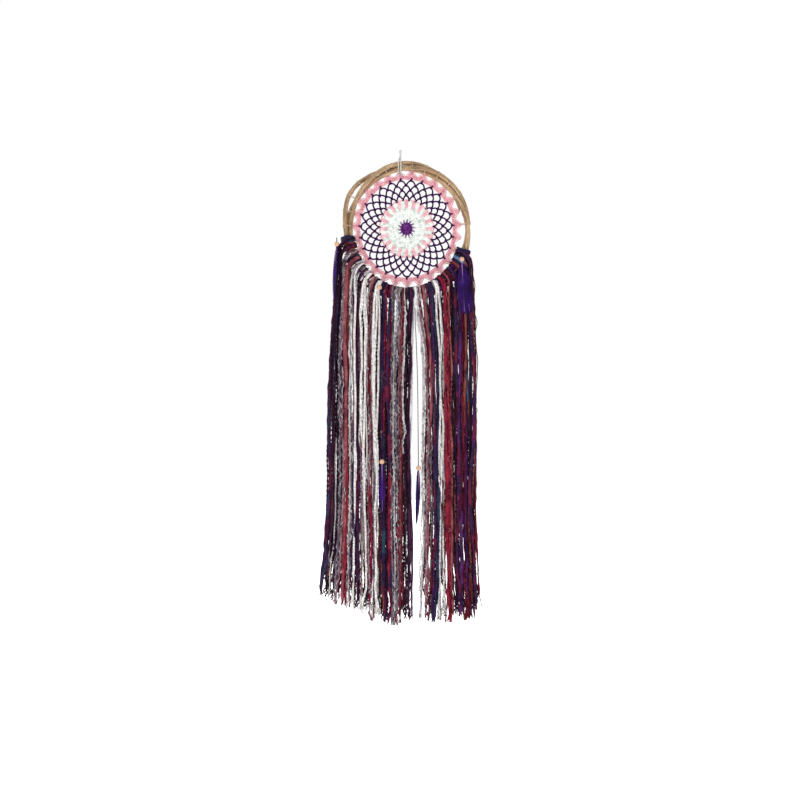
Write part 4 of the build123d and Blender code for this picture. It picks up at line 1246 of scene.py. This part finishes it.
hungStrand = {"radius": 0.0008, "pitch": 0.006, "diameter": 0.0018}
for end in ("middle", "gap"):
    node = "strand_" + end
    path = nurbsLine(routes[node], 0.002)[0]
    bead = path[-1]
    # it runs on through the bead and down the feather's shaft
    lean = math.radians(feathers["feather_" + end]["lean"])
    down = np.linspace(0, 1, 18)[1:, None] * (feathers["feather_" + end]["length"] - 0.055)
    path = np.vstack([path, bead + down * np.array((math.sin(lean), 0, -math.cos(lean)))])
    skein = newSkein()
    dice = np.random.default_rng(70 + len(node))
    twistedCord(skein, path, hungStrand["radius"], 2, hungStrand["pitch"], 0, 5)
    addHairs(skein, path, 0.0019, 450, 0, dice)
    # the knot under the bead
    turn = np.linspace(0, 2 * math.pi, 17)
    ring = np.stack([0.0009 * np.cos(turn), 0.0009 * np.sin(turn), 0.0003 * np.sin(2 * turn)], axis=1)
    addTube(skein, bead + (0, 0, -0.0042) + ring, 0.0006, 6, 0)
    strandPiece = woundMesh("strand." + end, skein, [yarns["forge" if end == "gap" else "plum"]])
    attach(strandPiece, bodyOf[node])
    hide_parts(node)
for node in ("tie_left", "tie_right"):
    start, end = (np.array(point) for point in routes[node])
    line = start + np.linspace(-0.6, 1, 14)[:, None] * (end - start)
    skein = newSkein()
    twistedCord(skein, line, hungStrand["radius"], 2, hungStrand["pitch"], 0, 5)
    tie = woundMesh(node.replace("_", "."), skein, [yarns["black"]])
    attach(tie, bodyOf[node])
    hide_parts(node)
print("strands and ties hung")


# studio: a pale floor under the fringe, soft light, and the camera

studio = {
    "floorZ": -0.93, "cameraPlace": (-0.0006, -3.022, -0.3995), "lens": 85,
    # each light's place, size and power
    "lights": {"keyLight": ((-1.3, -1.8, 0.9), 0.8, 13), "fillLight": ((1.6, -1.6, 0.2), 1.2, 3),
               "backLight": ((0.4, 1.9, 0.9), 1.2, 6)},
}
bpy.ops.mesh.primitive_plane_add(size=14, location=(0, 0, studio["floorZ"]))
floor = bpy.context.object
floor.name = "floor"
floorFinish = newFinish("paleFloor", {"Base Color": (0.95, 0.95, 0.95, 1), "Roughness": 0.9,
                                      "Emission Color": (1, 1, 1, 1), "Emission Strength": 0.75})[0]
floor.data.materials.append(floorFinish)

world = bpy.data.worlds.new("softWorld")
bpy.context.scene.world = world
world.use_nodes = True
world.node_tree.nodes["Background"].inputs["Color"].default_value = (1, 1, 1, 1)
world.node_tree.nodes["Background"].inputs["Strength"].default_value = 1.0
for lightName, (place, size, power) in studio["lights"].items():
    light = bpy.data.lights.new(lightName, "AREA")
    light.size = size
    light.energy = power
    lamp = bpy.data.objects.new(lightName, light)
    lamp.location = place
    lamp.rotation_euler = (Vector((0, 0, -0.35)) - Vector(place)).to_track_quat("-Z", "Y").to_euler()
    bpy.context.scene.collection.objects.link(lamp)

cameraData = bpy.data.cameras.new("camera")
cameraData.lens = studio["lens"]
cameraData.sensor_width = 36
camera = bpy.data.objects.new("camera", cameraData)
camera.location = studio["cameraPlace"]
camera.rotation_euler = (math.pi / 2, 0, 0)
bpy.context.scene.collection.objects.link(camera)
bpy.context.scene.camera = camera
bpy.context.scene.view_settings.view_transform = "Standard"
print("studio lit")
